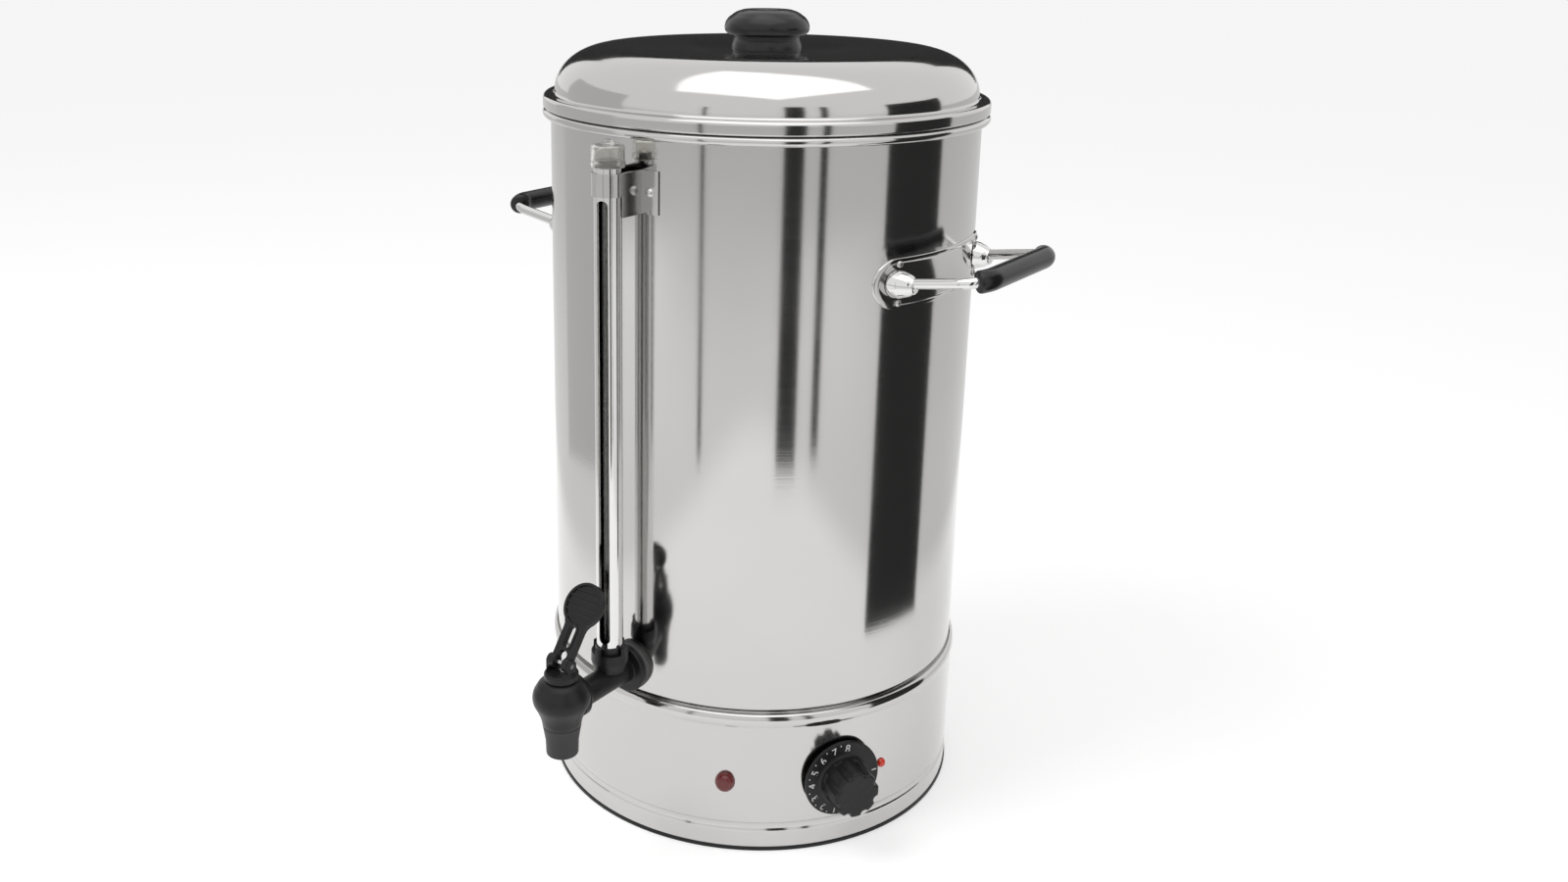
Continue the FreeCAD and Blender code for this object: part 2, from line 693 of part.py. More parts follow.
def plate_outline():
    h = handle_plate_height * 0.5
    length = 2 * (handle_plate_half_length - h)
    slab = box((0, -length * 0.5, handle_z - h), (200, length * 0.5, handle_z + h))
    ends = [cylinder(h, 200, V(0, side * length * 0.5, handle_z), V(1, 0, 0)) for side in (-1, 1)]
    return slab.fuse(ends)


def rivet_points():
    return [(side * handle_half_width, handle_z + up * rivet_half_spread) for side in (-1, 1) for up in (-1, 1)]


def make_handle_plate():
    shell = ring(wall_face, tank_radius, handle_plate_height + 2, V(0, 0, handle_z - handle_plate_height * 0.5 - 1))
    return shell.common(plate_outline()).cut(leg_holes(handle_rod_radius + handle_hole_clearance))


def make_bosses():
    bosses = []
    holes = leg_holes(handle_rod_radius + 0.05)
    for y in (-handle_half_width, handle_half_width):
        shoulder = (boss_radius * 0.8, boss_height * 0.75)
        dome = revolve([(0, -12), (boss_radius, -12), (boss_radius, 2.6),
                        (shoulder, (handle_rod_radius + 1, boss_height)), (0, boss_height)])
        dome.Placement = FreeCAD.Placement(V(handle_root_x, y, handle_z), FreeCAD.Rotation(UP, V(1, 0, 0)))
        bosses.append(dome.cut(cylinder(wall_face, 60, V(0, 0, handle_z - 30))).cut(holes))
    return bosses


def make_handle_nuts():
    nuts = []
    holes = leg_holes(handle_rod_radius + 0.05)
    for y in (-handle_half_width, handle_half_width):
        at = V(handle_root_x - rod_end_inside + 3, y, handle_z - 1.5)
        nut = hexagon(handle_nut_flats, handle_nut_thickness + 8, at, V(1, 0, 0))
        nut = nut.common(cylinder(tank_inner_radius, 40, V(0, 0, handle_z - 20)))
        nuts.append(nut.cut(holes))
    return nuts


def make_rivets():
    rivets = []
    for y, z in rivet_points():
        x = math.sqrt(wall_face ** 2 - y ** 2)
        d = V(x, y, 0).normalize()
        base = V(x, y, z)
        ball = (rivet_radius ** 2 + rivet_height ** 2) / (2 * rivet_height)
        head = Part.makeSphere(ball, base - d * (ball - rivet_height))
        rivets.append(head.cut(cylinder(wall_face, 60, V(0, 0, z - 30))))
    return rivets


# controls
def make_pilot_lens():
    d = outward(pilot_angle)
    r, h = pilot_lens_radius, pilot_lens_height
    lens = revolve([(0, -3), (r, -3), (r, 1.2), ((r * 0.86, h * 0.7), (r * 0.5, h)), (0, h + 0.2)])
    lens.Placement = FreeCAD.Placement(d * skirt_radius + UP * controls_z, FreeCAD.Rotation(UP, d))
    return lens.cut(cylinder(skirt_radius + 0.02, 40, V(0, 0, controls_z - 20)))


def make_pilot_body():
    d = outward(pilot_angle)
    start = d * (skirt_radius - pilot_depth) + UP * controls_z
    body = cylinder(pilot_stem_radius, pilot_depth - 0.3, start, d)
    nut_at = d * (skirt_radius - skirt_wall - skirt_clearance - pilot_nut_thickness) + UP * controls_z
    nut = ring(pilot_nut_radius, pilot_stem_radius + 0.05, pilot_nut_thickness, nut_at, d)
    return body.fuse(nut)


def make_dial_index():
    d = outward(index_angle)
    ball = (index_radius ** 2 + index_height ** 2) / (2 * index_height)
    at = d * skirt_radius + UP * controls_z
    head = Part.makeSphere(ball, at - d * (ball - index_height))
    head = head.cut(cylinder(skirt_radius, 30, V(0, 0, controls_z - 15)))
    return head.fuse(cylinder(index_pin_radius, 4, at - d * 3.8, d))


def make_dial():
    r, t, g = dial_skirt_radius, dial_skirt_thickness, dial_grip_radius
    top = t + dial_grip_height
    disc = revolve([(0, 0), (r - 0.4, 0), ((r - 0.1, 0.1), (r, 0.4)), (r, t - 1.4), (r - 1.2, t - 0.6), (g + 2, t),
                    (g, t + 1), (g - 0.8, top - 0.8), ((g - 1, top - 0.2), (g - 1.6, top)), (0, top)])
    reach = g + dial_lobe_cut_radius * 0.42
    for k in range(dial_lobes):
        a = math.radians(360 * (k + 0.5) / dial_lobes)
        at = V(reach * math.cos(a), reach * math.sin(a), t + 2.5)
        disc = disc.cut(cylinder(dial_lobe_cut_radius, dial_grip_height, at))
    disc = disc.cut(cylinder(dial_shaft_radius, dial_socket_depth + 0.1))
    d = outward(dial_angle)
    facing = FreeCAD.Rotation(V(0, 1, 0), UP, d, "ZYX")
    disc.Placement = FreeCAD.Placement(d * (skirt_radius + dial_stand_off) + UP * controls_z, facing)
    return disc


def thermostat_face():
    return skirt_radius - skirt_wall - 5.0


def make_thermostat():
    s, face, depth = thermostat_size * 0.5, thermostat_face(), thermostat_depth
    body = box((-s, -s, face - depth), (s, s, face))
    neck = cylinder(thermostat_neck_radius, skirt_radius + 0.6 - face, V(0, 0, face))
    cover = box((-s - 2, -s * 0.5, face), (s + 2, s * 0.5, face + 1.5))
    body = body.fuse([neck, cover]).cut(cylinder(dial_shaft_radius + dial_shaft_clearance, 60, V(0, 0, face - 8)))
    body.Placement = FreeCAD.Placement(UP * controls_z, FreeCAD.Rotation(UP, outward(dial_angle)))
    return body


def make_shaft():
    start = thermostat_face() - 7.7
    shaft = cylinder(dial_shaft_radius, skirt_radius + dial_stand_off + dial_socket_depth - start, V(0, 0, start))
    shaft.Placement = FreeCAD.Placement(UP * controls_z, FreeCAD.Rotation(UP, outward(dial_angle)))
    return shaft


# heater and electrics
def make_element():
    z = tank_floor_z + tank_wall + element_rise
    r, gap, t = element_ring_radius, element_gap_angle, element_tube_radius
    start, end = element_end_points()
    bend = 6.0
    step = math.degrees(bend / r)
    a0, a1 = 180 + gap * 0.5, 180 - gap * 0.5 + 360

    def on_ring(angle, height):
        p = outward(angle) * r
        return V(p.x, p.y, height)

    loop = Part.Arc(on_ring(a0 + step, z), on_ring((a0 + a1) * 0.5, z), on_ring(a1 - step, z)).toShape()
    first = Part.LineSegment(V(end.x, end.y, tank_floor_z - 14), on_ring(a0, z - bend)).toShape()
    last = Part.LineSegment(on_ring(a1, z - bend), V(start.x, start.y, tank_floor_z - 14)).toShape()

    def corner(p, q, angle):
        middle = on_ring(angle, z - bend * 0.29)
        return Part.Arc(p, middle, q).toShape()

    turn_in = corner(on_ring(a0, z - bend), on_ring(a0 + step, z), a0 + step * 0.29)
    turn_out = corner(on_ring(a1 - step, z), on_ring(a1, z - bend), a1 - step * 0.29)
    path = Part.Wire([first, turn_in, loop, turn_out, last])
    circle = Part.Wire([Part.makeCircle(t, V(end.x, end.y, tank_floor_z - 14), UP)])
    return path.makePipeShell([circle], True, False)


def make_element_nuts():
    nuts = []
    for p in element_end_points():
        z = tank_floor_z - element_nut_thickness
        nut = hexagon(element_nut_flats, element_nut_thickness, V(p.x, p.y, z), UP)
        nuts.append(nut.cut(cylinder(element_tube_radius + 0.05, 20, V(p.x, p.y, z - 5))))
    return nuts


def make_cutout():
    z = tank_floor_z - cutout_height
    body = cylinder(cutout_radius, cutout_height, V(0, 0, z))
    tabs = [box((side * 6 - 3, -0.4, z - 8), (side * 6 + 3, 0.4, z)) for side in (-1, 1)]
    return body.fuse(tabs)


def make_terminal_block():
    x, y, h = terminal_block_size
    z = skirt_bottom_z + base_plate_thickness
    block = box((-x * 0.5, terminal_block_y, z), (x * 0.5, terminal_block_y + y, z + h))
    for k in range(3):
        hole_at = V(-x * 0.5 + (k + 0.5) * x / 3, terminal_block_y + y * 0.5, z + h - 6)
        block = block.cut(cylinder(2.4, 10, hole_at))
    return block


def make_gland():
    r = gland_radius
    start = V(0, skirt_radius - 12, gland_z)
    back = V(0, 1, 0)
    body = cylinder(r - 2, 12 + 1.5, start, back)
    flange = cylinder(r + 2.5, 3, V(0, skirt_radius - 0.6, gland_z), back)
    nose = revolve([(0, 0), (r, 0), (r - 2.2, gland_length), (0, gland_length)])
    nose.Placement = FreeCAD.Placement(V(0, skirt_radius + 2.4, gland_z), FreeCAD.Rotation(UP, back))
    gland = flange.fuse(nose).cut(cylinder(skirt_radius + 0.02, 60, V(0, 0, gland_z - 30))).fuse(body)
    return gland.cut(cylinder(4.2, 60, start - back * 5, back))


def make_gland_nut():
    inner = skirt_radius - skirt_wall
    nut = hexagon(gland_nut_flats, 4.5, V(0, inner - 5.4, gland_z), V(0, 1, 0))
    return nut.cut(cylinder(gland_radius - 2 + 0.05, 60, V(0, skirt_radius - 50, gland_z), V(0, 1, 0)))


save("tank", make_tank())
save("lid_shell", revolve(lid_profile()))
save("lid_knob", make_lid_knob())
save("lid_knob_screw", make_lid_screw())
save("lid_knob_washer", make_lid_washer())
save("skirt", make_skirt())
save("base_ring", make_base_ring())
save("base_plate", make_base_plate())
save("base_screws", *make_base_screws())
save("tap_body", make_tap_body())
save("tap_spout", make_spout())
save("tap_washer", make_tap_washer())
save("tap_lock_nut", make_lock_nut())
save("tap_bonnet", make_bonnet())
save("lever_pin", make_lever_pin())
save("tap_lever", make_lever())
save("tap_stem", make_stem())
save("seat_cup", make_seat_cup())
save("tap_spring", make_spring())
save("gauge_nut", make_gauge_nut())
save("gauge_guard", make_guard())
save("gauge_glass", make_glass())
save("gauge_seal", make_gauge_seal())
save("gauge_cap", make_gauge_cap())
save("gauge_bracket", make_gauge_bracket())
save("gauge_bracket_screws", *make_bracket_screws())
save("pilot_lens", make_pilot_lens())
save("pilot_lamp", make_pilot_body())
save("dial_index", make_dial_index())
save("dial_knob", make_dial())
save("thermostat", make_thermostat())
save("thermostat_shaft", make_shaft())
save("heating_element", make_element())
save("element_nuts", *make_element_nuts())
save("boil_dry_cutout", make_cutout())
save("terminal_block", make_terminal_block())
save("cord_gland", make_gland())
save("cord_gland_nut", make_gland_nut())
for side_name, place in (("right", lambda s: s), ("left", mirrored)):
    save("handle_rod_" + side_name, place(make_handle_rod()))
    save("handle_grip_" + side_name, place(make_grip()))
    save("handle_plate_" + side_name, place(make_handle_plate()))
    save("handle_bosses_" + side_name, *[place(s) for s in make_bosses()])
    save("handle_nuts_" + side_name, *[place(s) for s in make_handle_nuts()])
    save("handle_rivets_" + side_name, *[place(s) for s in make_rivets()])
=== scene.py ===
import json
import math

import bmesh
import bpy
from mathutils import Matrix, Vector


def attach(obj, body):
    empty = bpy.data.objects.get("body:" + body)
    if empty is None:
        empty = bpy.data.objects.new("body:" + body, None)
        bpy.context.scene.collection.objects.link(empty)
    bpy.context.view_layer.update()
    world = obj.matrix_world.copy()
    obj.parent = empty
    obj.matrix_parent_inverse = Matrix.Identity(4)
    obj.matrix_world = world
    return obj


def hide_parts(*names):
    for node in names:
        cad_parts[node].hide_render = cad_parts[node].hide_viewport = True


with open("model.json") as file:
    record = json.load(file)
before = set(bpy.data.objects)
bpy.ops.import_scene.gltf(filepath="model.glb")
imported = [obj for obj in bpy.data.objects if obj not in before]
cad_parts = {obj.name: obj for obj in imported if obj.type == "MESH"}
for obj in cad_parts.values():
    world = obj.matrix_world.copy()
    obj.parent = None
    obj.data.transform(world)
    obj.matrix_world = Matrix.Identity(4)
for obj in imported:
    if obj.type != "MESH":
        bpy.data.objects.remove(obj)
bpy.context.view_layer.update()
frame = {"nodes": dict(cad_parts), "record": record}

# A hot water urn. Every piece below is written in millimetres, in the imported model's frame,
# and settle() brings it to metres. Angles are degrees from the tap towards the right handle.
mm = 0.001
down = Matrix.Scale(mm, 4)
up = Vector((0, 0, 1))


def outward(angle):
    a = math.radians(angle)
    return Vector((math.sin(a), -math.cos(a), 0))


# outlines: a step is a corner (r, z), or an arc's middle and end ((r, z), (r, z))
def arcThrough(a, b, c, stepDegrees=6):
    d = 2 * (a.x * (b.y - c.y) + b.x * (c.y - a.y) + c.x * (a.y - b.y))
    aa, bb, cc = a.dot(a), b.dot(b), c.dot(c)
    centre = Vector(((aa * (b.y - c.y) + bb * (c.y - a.y) + cc * (a.y - b.y)) / d,
                     (aa * (c.x - b.x) + bb * (a.x - c.x) + cc * (b.x - a.x)) / d))
    first, middle, last = (math.atan2(p.y - centre.y, p.x - centre.x) for p in (a, b, c))
    sweep = (last - first) % math.tau
    if (middle - first) % math.tau > sweep:
        sweep -= math.tau
    count = max(3, math.ceil(abs(sweep) / math.radians(stepDegrees)))
    radius = (a - centre).length
    turns = [first + sweep * k / count for k in range(1, count + 1)]
    return [centre + Vector((math.cos(t), math.sin(t))) * radius for t in turns]


def outline(steps):
    points = [Vector(steps[0])]
    for step in steps[1:]:
        if isinstance(step[0], tuple):
            points += arcThrough(points[-1], Vector(step[0]), Vector(step[1]))
        else:
            points.append(Vector(step))
    return points


def ellipse(centre, across, rise, startDegrees, endDegrees, count=14):
    turns = [math.radians(startDegrees + (endDegrees - startDegrees) * k / count) for k in range(count + 1)]
    return [(centre[0] + across * math.cos(t), centre[1] + rise * math.sin(t)) for t in turns]


# mesh makers
def piece(name, mesh):
    made = bpy.data.objects.new(name, mesh)
    bpy.context.scene.collection.objects.link(made)
    return made


def fromShell(name, points, faces):
    mesh = bpy.data.meshes.new(name)
    mesh.from_pydata([tuple(p) for p in points], [], faces)
    return piece(name, mesh)


def facing(origin, axis):
    turn = up.rotation_difference(Vector(axis).normalized()).to_matrix().to_4x4()
    return Matrix.Translation(Vector(origin)) @ turn


def turned(name, steps, place=Matrix.Identity(4), segments=128):  # a closed outline spun about Z
    shape = outline(steps)
    points, rings = [], []
    for p in shape:
        if p.x < 1e-6:
            rings.append([len(points)] * segments)
            points.append(Vector((0, 0, p.y)))
        else:
            rings.append(range(len(points), len(points) + segments))
            turns = [math.tau * k / segments for k in range(segments)]
            points += [Vector((p.x * math.cos(t), p.x * math.sin(t), p.y)) for t in turns]
    faces = []
    for here, there in zip(rings, rings[1:] + rings[:1]):
        for k in range(segments):
            j = (k + 1) % segments
            corners = list(dict.fromkeys((here[k], here[j], there[j], there[k])))
            if len(corners) > 2:
                faces.append(corners)
    return fromShell(name, [place @ p for p in points], faces)


def stacked(name, loops, place=Matrix.Identity(4)):  # loops of equal count, capped at both ends
    count = len(loops[0])
    points = [p for loop in loops for p in loop]
    faces = []
    for level in range(len(loops) - 1):
        a, b = level * count, (level + 1) * count
        faces += [(a + k, a + (k + 1) % count, b + (k + 1) % count, b + k) for k in range(count)]
    for start, loop in ((0, loops[0]), (len(points) - count, loops[-1])):
        points.append(sum(loop, Vector()) / count)
        faces += [(start + k, start + (k + 1) % count, len(points) - 1) for k in range(count)]
    return fromShell(name, [place @ p for p in points], faces)


def swept(name, path, radii, segments=32):  # a round bar along points, with a radius at each
    loops = []
    tangent = (path[1] - path[0]).normalized()
    side = tangent.orthogonal().normalized()
    for k, point in enumerate(path):
        ahead = (path[min(k + 1, len(path) - 1)] - path[max(k - 1, 0)]).normalized()
        side = (side - ahead * side.dot(ahead)).normalized()
        across = ahead.cross(side)
        turns = [math.tau * j / segments for j in range(segments)]
        loops.append([point + (side * math.cos(t) + across * math.sin(t)) * radii[k] for t in turns])
    return stacked(name, loops)


def cutSheet(name, loops, depth, bevel, place):  # a flat outline with holes, given a thickness
    curve = bpy.data.curves.new(name, "CURVE")
    curve.dimensions, curve.fill_mode = "2D", "BOTH"
    curve.extrude, curve.bevel_depth, curve.bevel_resolution = depth * 0.5 - bevel, bevel, 2
    curve.offset = -bevel
    for loop in loops:
        spline = curve.splines.new("POLY")
        spline.points.add(len(loop) - 1)
        for point, (x, y) in zip(spline.points, loop):
            point.co = (x, y, 0, 1)
        spline.use_cyclic_u = True
    made = plain(piece(name, curve))
    made.data.transform(place)
    return made


def plain(made):  # any object as a plain mesh, with its modifiers applied
    name = made.name
    mesh = bpy.data.meshes.new_from_object(made.evaluated_get(bpy.context.evaluated_depsgraph_get()))
    bpy.data.objects.remove(made)
    return piece(name, mesh)


def joined(name, parts):
    whole = bmesh.new()
    for part in parts:
        whole.from_mesh(part.data)
        bpy.data.objects.remove(part)
    mesh = bpy.data.meshes.new(name)
    whole.to_mesh(mesh)
    whole.free()
    return piece(name, mesh)


def settle(made, body, look, nodes=(), crease=32, mirror=False):
    if mirror:
        made.data.transform(Matrix.Scale(-1, 4, (1, 0, 0)))
    shell = bmesh.new()
    shell.from_mesh(made.data)
    bmesh.ops.remove_doubles(shell, verts=shell.verts, dist=0.002)
    bmesh.ops.recalc_face_normals(shell, faces=shell.faces)
    shell.to_mesh(made.data)
    shell.free()
    made.data.transform(down)
    made.data.materials.clear()
    made.data.materials.append(look)
    made.data.shade_smooth()
    made.data.set_sharp_from_angle(angle=math.radians(crease))
    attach(made, body)
    if nodes:
        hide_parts(*nodes)
    return made


# shader sums: a Wire is a socket that takes part in plain arithmetic
class Wire:
    def __init__(self, look, socket):
        self.look = look
        self.socket = socket

    def sum(self, operation, left, right):
        return self.look.node("ShaderNodeMath", {"operation": operation}, {0: left, 1: right})

    def __add__(self, other):
        return self.sum("ADD", self, other)

    def __sub__(self, other):
        return self.sum("SUBTRACT", self, other)

    def __rsub__(self, other):
        return self.sum("SUBTRACT", other, self)

    def __mul__(self, other):
        return self.sum("MULTIPLY", self, other)

    def __pow__(self, other):
        return self.sum("POWER", self, other)

    __radd__ = __add__
    __rmul__ = __mul__


class Look:
    def __init__(self, name):
        self.material = bpy.data.materials.new(name)
        self.material.use_nodes = True
        self.tree = self.material.node_tree
        self.shader = self.tree.nodes["Principled BSDF"]

    def fill(self, node, values):
        for name, value in values.items():
            if isinstance(value, Wire):
                self.tree.links.new(value.socket, node.inputs[name])
            else:
                node.inputs[name].default_value = value

    def node(self, kind, settings=None, values=None, output=0):
        made = self.tree.nodes.new(kind)
        for name, value in (settings or {}).items():
            if name == "stops":
                for stop, (place, tone) in zip(made.color_ramp.elements, value):
                    stop.position, stop.color = place, tone
            else:
                setattr(made, name, value)
        self.fill(made, values or {})
        return Wire(self, made.outputs[output])

    def place(self):
        return self.node("ShaderNodeTexCoord", output="Object")

    def axes(self):
        place = self.place()
        return [self.node("ShaderNodeSeparateXYZ", None, {0: place}, k) for k in range(3)]

    def noise(self, place, scale, detail=2.0, roughness=0.5):
        values = {"Vector": place, "Scale": scale, "Detail": detail, "Roughness": roughness}
        return self.node("ShaderNodeTexNoise", None, values)

    def ramp(self, factor, low, high):  # 0 below low, 1 above high
        stops = ((low, (0, 0, 0, 1)), (high, (1, 1, 1, 1)))
        return self.node("ShaderNodeValToRGB", {"stops": stops}, {0: factor})

    def mix(self, factor, a, b):
        return self.node("ShaderNodeMix", {"data_type": "RGBA"}, {0: factor, 6: a, 7: b}, 2)

    def bump(self, height, strength, distance):
        values = {"Height": height, "Strength": strength, "Distance": distance}
        return self.node("ShaderNodeBump", None, values)

    def shine(self, values):
        self.fill(self.shader, values)
        return self.material


def grey(level, warmth=0.0):
    return (level * (1 + warmth), level, level * (1 - warmth), 1)


def steelLook(name, tone, polish, grainDepth, fine=1500):
    look = Look(name)
    x, y, z = look.axes()
    radius = (x * x + y * y) ** 0.5  # the grain runs round the urn's axis, as on spun sheet
    values = {"X": radius * fine, "Y": z * fine, "Z": x * 6 + y * 7}
    grain = look.noise(look.node("ShaderNodeCombineXYZ", None, values), 1.0, 3.0, 0.6)
    smudge = look.noise(look.place(), 9.0, 3.0)
    wiped = look.ramp(smudge, 0.35, 0.75)
    return look.shine({
        "Base Color": look.mix(wiped, grey(tone, 0.012), grey(tone * 0.965, 0.02)),
        "Metallic": 1.0,
        "Roughness": polish + grain * 0.06 + wiped * 0.035,
        "Normal": look.bump(grain, grainDepth, 0.0001),
    })


def chromeLook(name, tone, polish):
    look = Look(name)
    smudge = look.noise(look.place(), 60.0, 3.0)
    scuff = look.ramp(look.noise(look.place(), 420.0, 4.0, 0.7), 0.55, 0.72)
    return look.shine({
        "Base Color": look.mix(smudge, grey(tone, 0.004), grey(tone * 0.94, 0.01)),
        "Metallic": 1.0,
        "Roughness": polish + smudge * 0.05 + scuff * 0.05,
        "Normal": look.bump(scuff, 0.02, 0.0001),
    })


def plasticLook(name, tone, roughness, pebble, level=0.5, scale=2600.0):
    look = Look(name)
    mould = look.noise(look.place(), scale, 2.0)
    flow = look.noise(look.place(), 45.0, 3.0)
    rubbed = look.ramp(flow, 0.45, 0.8)
    lighter = tuple(c * 1.22 for c in tone[:3]) + (1,)
    return look.shine({
        "Base Color": look.mix(rubbed, tone, lighter),
        "Roughness": roughness + mould * 0.06 - rubbed * 0.05,
        "Specular IOR Level": level,
        "Normal": look.bump(mould, pebble, 0.00005),
    })


def clearLook(name, tone, roughness, ior, through):
    look = Look(name)
    film = look.noise(look.place(), 70.0, 3.0)
    return look.shine({
        "Base Color": look.mix(film, tone, tuple(c * 0.93 for c in tone[:3]) + (1,)),
        "Roughness": roughness + film * 0.04,
        "IOR": ior,
        "Transmission Weight": through,
    })


def lensLook(name, tone, deep, through):
    look = Look(name)
    facets = look.node("ShaderNodeTexVoronoi", None, {"Vector": look.place(), "Scale": 700.0})
    return look.shine({
        "Base Color": look.mix(look.ramp(facets, 0.1, 0.6), tone, deep),
        "Roughness": 0.16 + facets * 0.1,
        "Coat Weight": 0.25,
        "Coat Roughness": 0.05,
        "Transmission Weight": through,
        "Normal": look.bump(facets, 0.08, 0.0003),
    })


def sheetLook(name, tone, metallic, roughness, spots):
    look = Look(name)
    cloud = look.noise(look.place(), 35.0, 4.0)
    speck = look.ramp(look.noise(look.place(), spots, 3.0), 0.5, 0.7)
    return look.shine({
        "Base Color": look.mix(cloud, tone, tuple(c * 0.8 for c in tone[:3]) + (1,)),
        "Metallic": metallic,
        "Roughness": roughness + speck * 0.12,
        "Normal": look.bump(speck, 0.08, 0.0001),
    })


looks = {
    "polished_steel": steelLook("polishedSteel", 0.55, 0.06, 0.10),
    "chrome_rod": chromeLook("chromeRod", 0.72, 0.05),
    "steel_fastener": chromeLook("fastenerSteel", 0.55, 0.16),
    "base_steel": sheetLook("dullSheet", grey(0.52), 1.0, 0.34, 500.0),
    "black_plastic": plasticLook("blackPlastic", (0.010, 0.010, 0.011, 1), 0.34, 0.22, 0.28),
    "silicone": plasticLook("softSeal", (0.07, 0.07, 0.07, 1), 0.6, 0.1),
    "clear_glass": clearLook("gaugeGlass", (0.88, 0.87, 0.84, 1), 0.02, 1.47, 1.0),
    "amber_cap": clearLook("smokyCap", (0.80, 0.79, 0.76, 1), 0.08, 1.49, 0.92),
    "red_lens": lensLook("redLens", (0.20, 0.006, 0.006, 1), (0.11, 0.003, 0.003, 1), 0.05),
    "index_red": lensLook("indexRed", (0.80, 0.06, 0.02, 1), (0.62, 0.03, 0.01, 1), 0.0),
    "lamp_body": plasticLook("lampBody", (0.75, 0.73, 0.68, 1), 0.42, 0.1),
    "heater_steel": sheetLook("heaterSheath", grey(0.30, 0.03), 1.0, 0.38, 900.0),
    "brass_nut": sheetLook("plainBrass", (0.70, 0.50, 0.20, 1), 1.0, 0.24, 900.0),
    "phenolic": plasticLook("phenolic", (0.045, 0.032, 0.025, 1), 0.46, 0.3),
}
gripBlack = plasticLook("gripBlack", (0.009, 0.009, 0.010, 1), 0.24, 0.05, 0.38)
spoutBlack = plasticLook("spoutBlack", (0.030, 0.030, 0.032, 1), 0.46, 0.28, 0.35)
printWhite = plasticLook("printWhite", (0.62, 0.62, 0.61, 1), 0.5, 0.05)

slotOf = {row["node"]: row["material_slot"] for row in frame["record"]["subparts"]}
for nodeName, node in frame["nodes"].items():
    node.data.materials.clear()
    node.data.materials.append(looks[slotOf[nodeName]])
print("looks", len(looks) + 3, "on", len(frame["nodes"]), "nodes")


# repeats: one tree sets copies on marked points, the other spaces them along a part circle
def geometryTree(name, sockets):
    tree = bpy.data.node_groups.new(name, "GeometryNodeTree")
    tree.interface.new_socket("Geometry", in_out="INPUT", socket_type="NodeSocketGeometry")
    names = {label: tree.interface.new_socket(label, in_out="INPUT", socket_type=kind).identifier
             for label, kind in sockets.items()}
    tree.interface.new_socket("Geometry", in_out="OUTPUT", socket_type="NodeSocketGeometry")
    return tree, names


def wired(tree, kind, settings=None, values=None):
    node = tree.nodes.new(kind)
    for name, value in (settings or {}).items():
        setattr(node, name, value)
    for name, value in (values or {}).items():
        if isinstance(value, bpy.types.NodeSocket):
            tree.links.new(value, node.inputs[name])
        else:
            node.inputs[name].default_value = value
    return node


def closeTree(tree, given, points, rotation, scale):
    part = wired(tree, "GeometryNodeObjectInfo", None, {"Object": given["Part"]})
    values = {"Points": points, "Instance": part.outputs["Geometry"], "Rotation": rotation, "Scale": scale}
    copies = wired(tree, "GeometryNodeInstanceOnPoints", None, values)
    real = wired(tree, "GeometryNodeRealizeInstances", None, {"Geometry": copies.outputs[0]})
    values = {"Geometry": real.outputs[0], "Material": given["Finish"]}
    finished = wired(tree, "GeometryNodeSetMaterial", None, values)
    tree.links.new(finished.outputs[0], tree.nodes.new("NodeGroupOutput").inputs[0])


def makeMarkedTree():
    sockets = {"Part": "NodeSocketObject", "Finish": "NodeSocketMaterial"}
    tree, names = geometryTree("copiesOnMarks", sockets)
    given = tree.nodes.new("NodeGroupInput").outputs
    vector = {"data_type": "FLOAT_VECTOR"}
    turn = wired(tree, "GeometryNodeInputNamedAttribute", vector, {"Name": "turn"})
    stretch = wired(tree, "GeometryNodeInputNamedAttribute", vector, {"Name": "stretch"})
    closeTree(tree, given, given["Geometry"], turn.outputs[0], stretch.outputs[0])
    return tree, names


def makeArcTree():
    sockets = {"Part": "NodeSocketObject", "Finish": "NodeSocketMaterial", "Count": "NodeSocketInt",
               "Radius": "NodeSocketFloat", "Start": "NodeSocketFloat", "Sweep": "NodeSocketFloat"}
    tree, names = geometryTree("copiesOnArc", sockets)
    given = tree.nodes.new("NodeGroupInput").outputs
    values = {"Resolution": given["Count"], "Radius": given["Radius"], "Start Angle": given["Start"],
              "Sweep Angle": given["Sweep"]}
    arc = wired(tree, "GeometryNodeCurveArc", {"mode": "RADIUS"}, values)
    points = wired(tree, "GeometryNodeCurveToPoints", {"mode": "EVALUATED"}, {"Curve": arc.outputs[0]})
    where = wired(tree, "GeometryNodeInputPosition")
    axes = wired(tree, "ShaderNodeSeparateXYZ", None, {0: where.outputs[0]})
    angle = wired(tree, "ShaderNodeMath", {"operation": "ARCTAN2"}, {0: axes.outputs[1], 1: axes.outputs[0]})
    turn = wired(tree, "ShaderNodeCombineXYZ", None, {"Z": angle.outputs[0]})
    closeTree(tree, given, points.outputs[0], turn.outputs[0], (1, 1, 1))
    return tree, names


markedTree = makeMarkedTree()
arcTree = makeArcTree()


def repeated(carrier, tree, part, look, sizes=None):
    group, names = tree
    carrier.modifiers.new("repeat", "NODES").node_group = group
    for label, value in {"Part": part, "Finish": look, **(sizes or {})}.items():
        carrier.modifiers["repeat"][names[label]] = value
    made = plain(carrier)
    bpy.data.objects.remove(part)
    return made


def onMarks(name, marks, part, look):  # a mark is a point, a turn and a stretch
    mesh = bpy.data.meshes.new(name)
    mesh.from_pydata([tuple(m[0]) for m in marks], [], [])
    for label, k in (("turn", 1), ("stretch", 2)):
        store = mesh.attributes.new(label, "FLOAT_VECTOR", "POINT")
        store.data.foreach_set("vector", [c for m in marks for c in m[k]])
    return repeated(piece(name, mesh), markedTree, part, look)


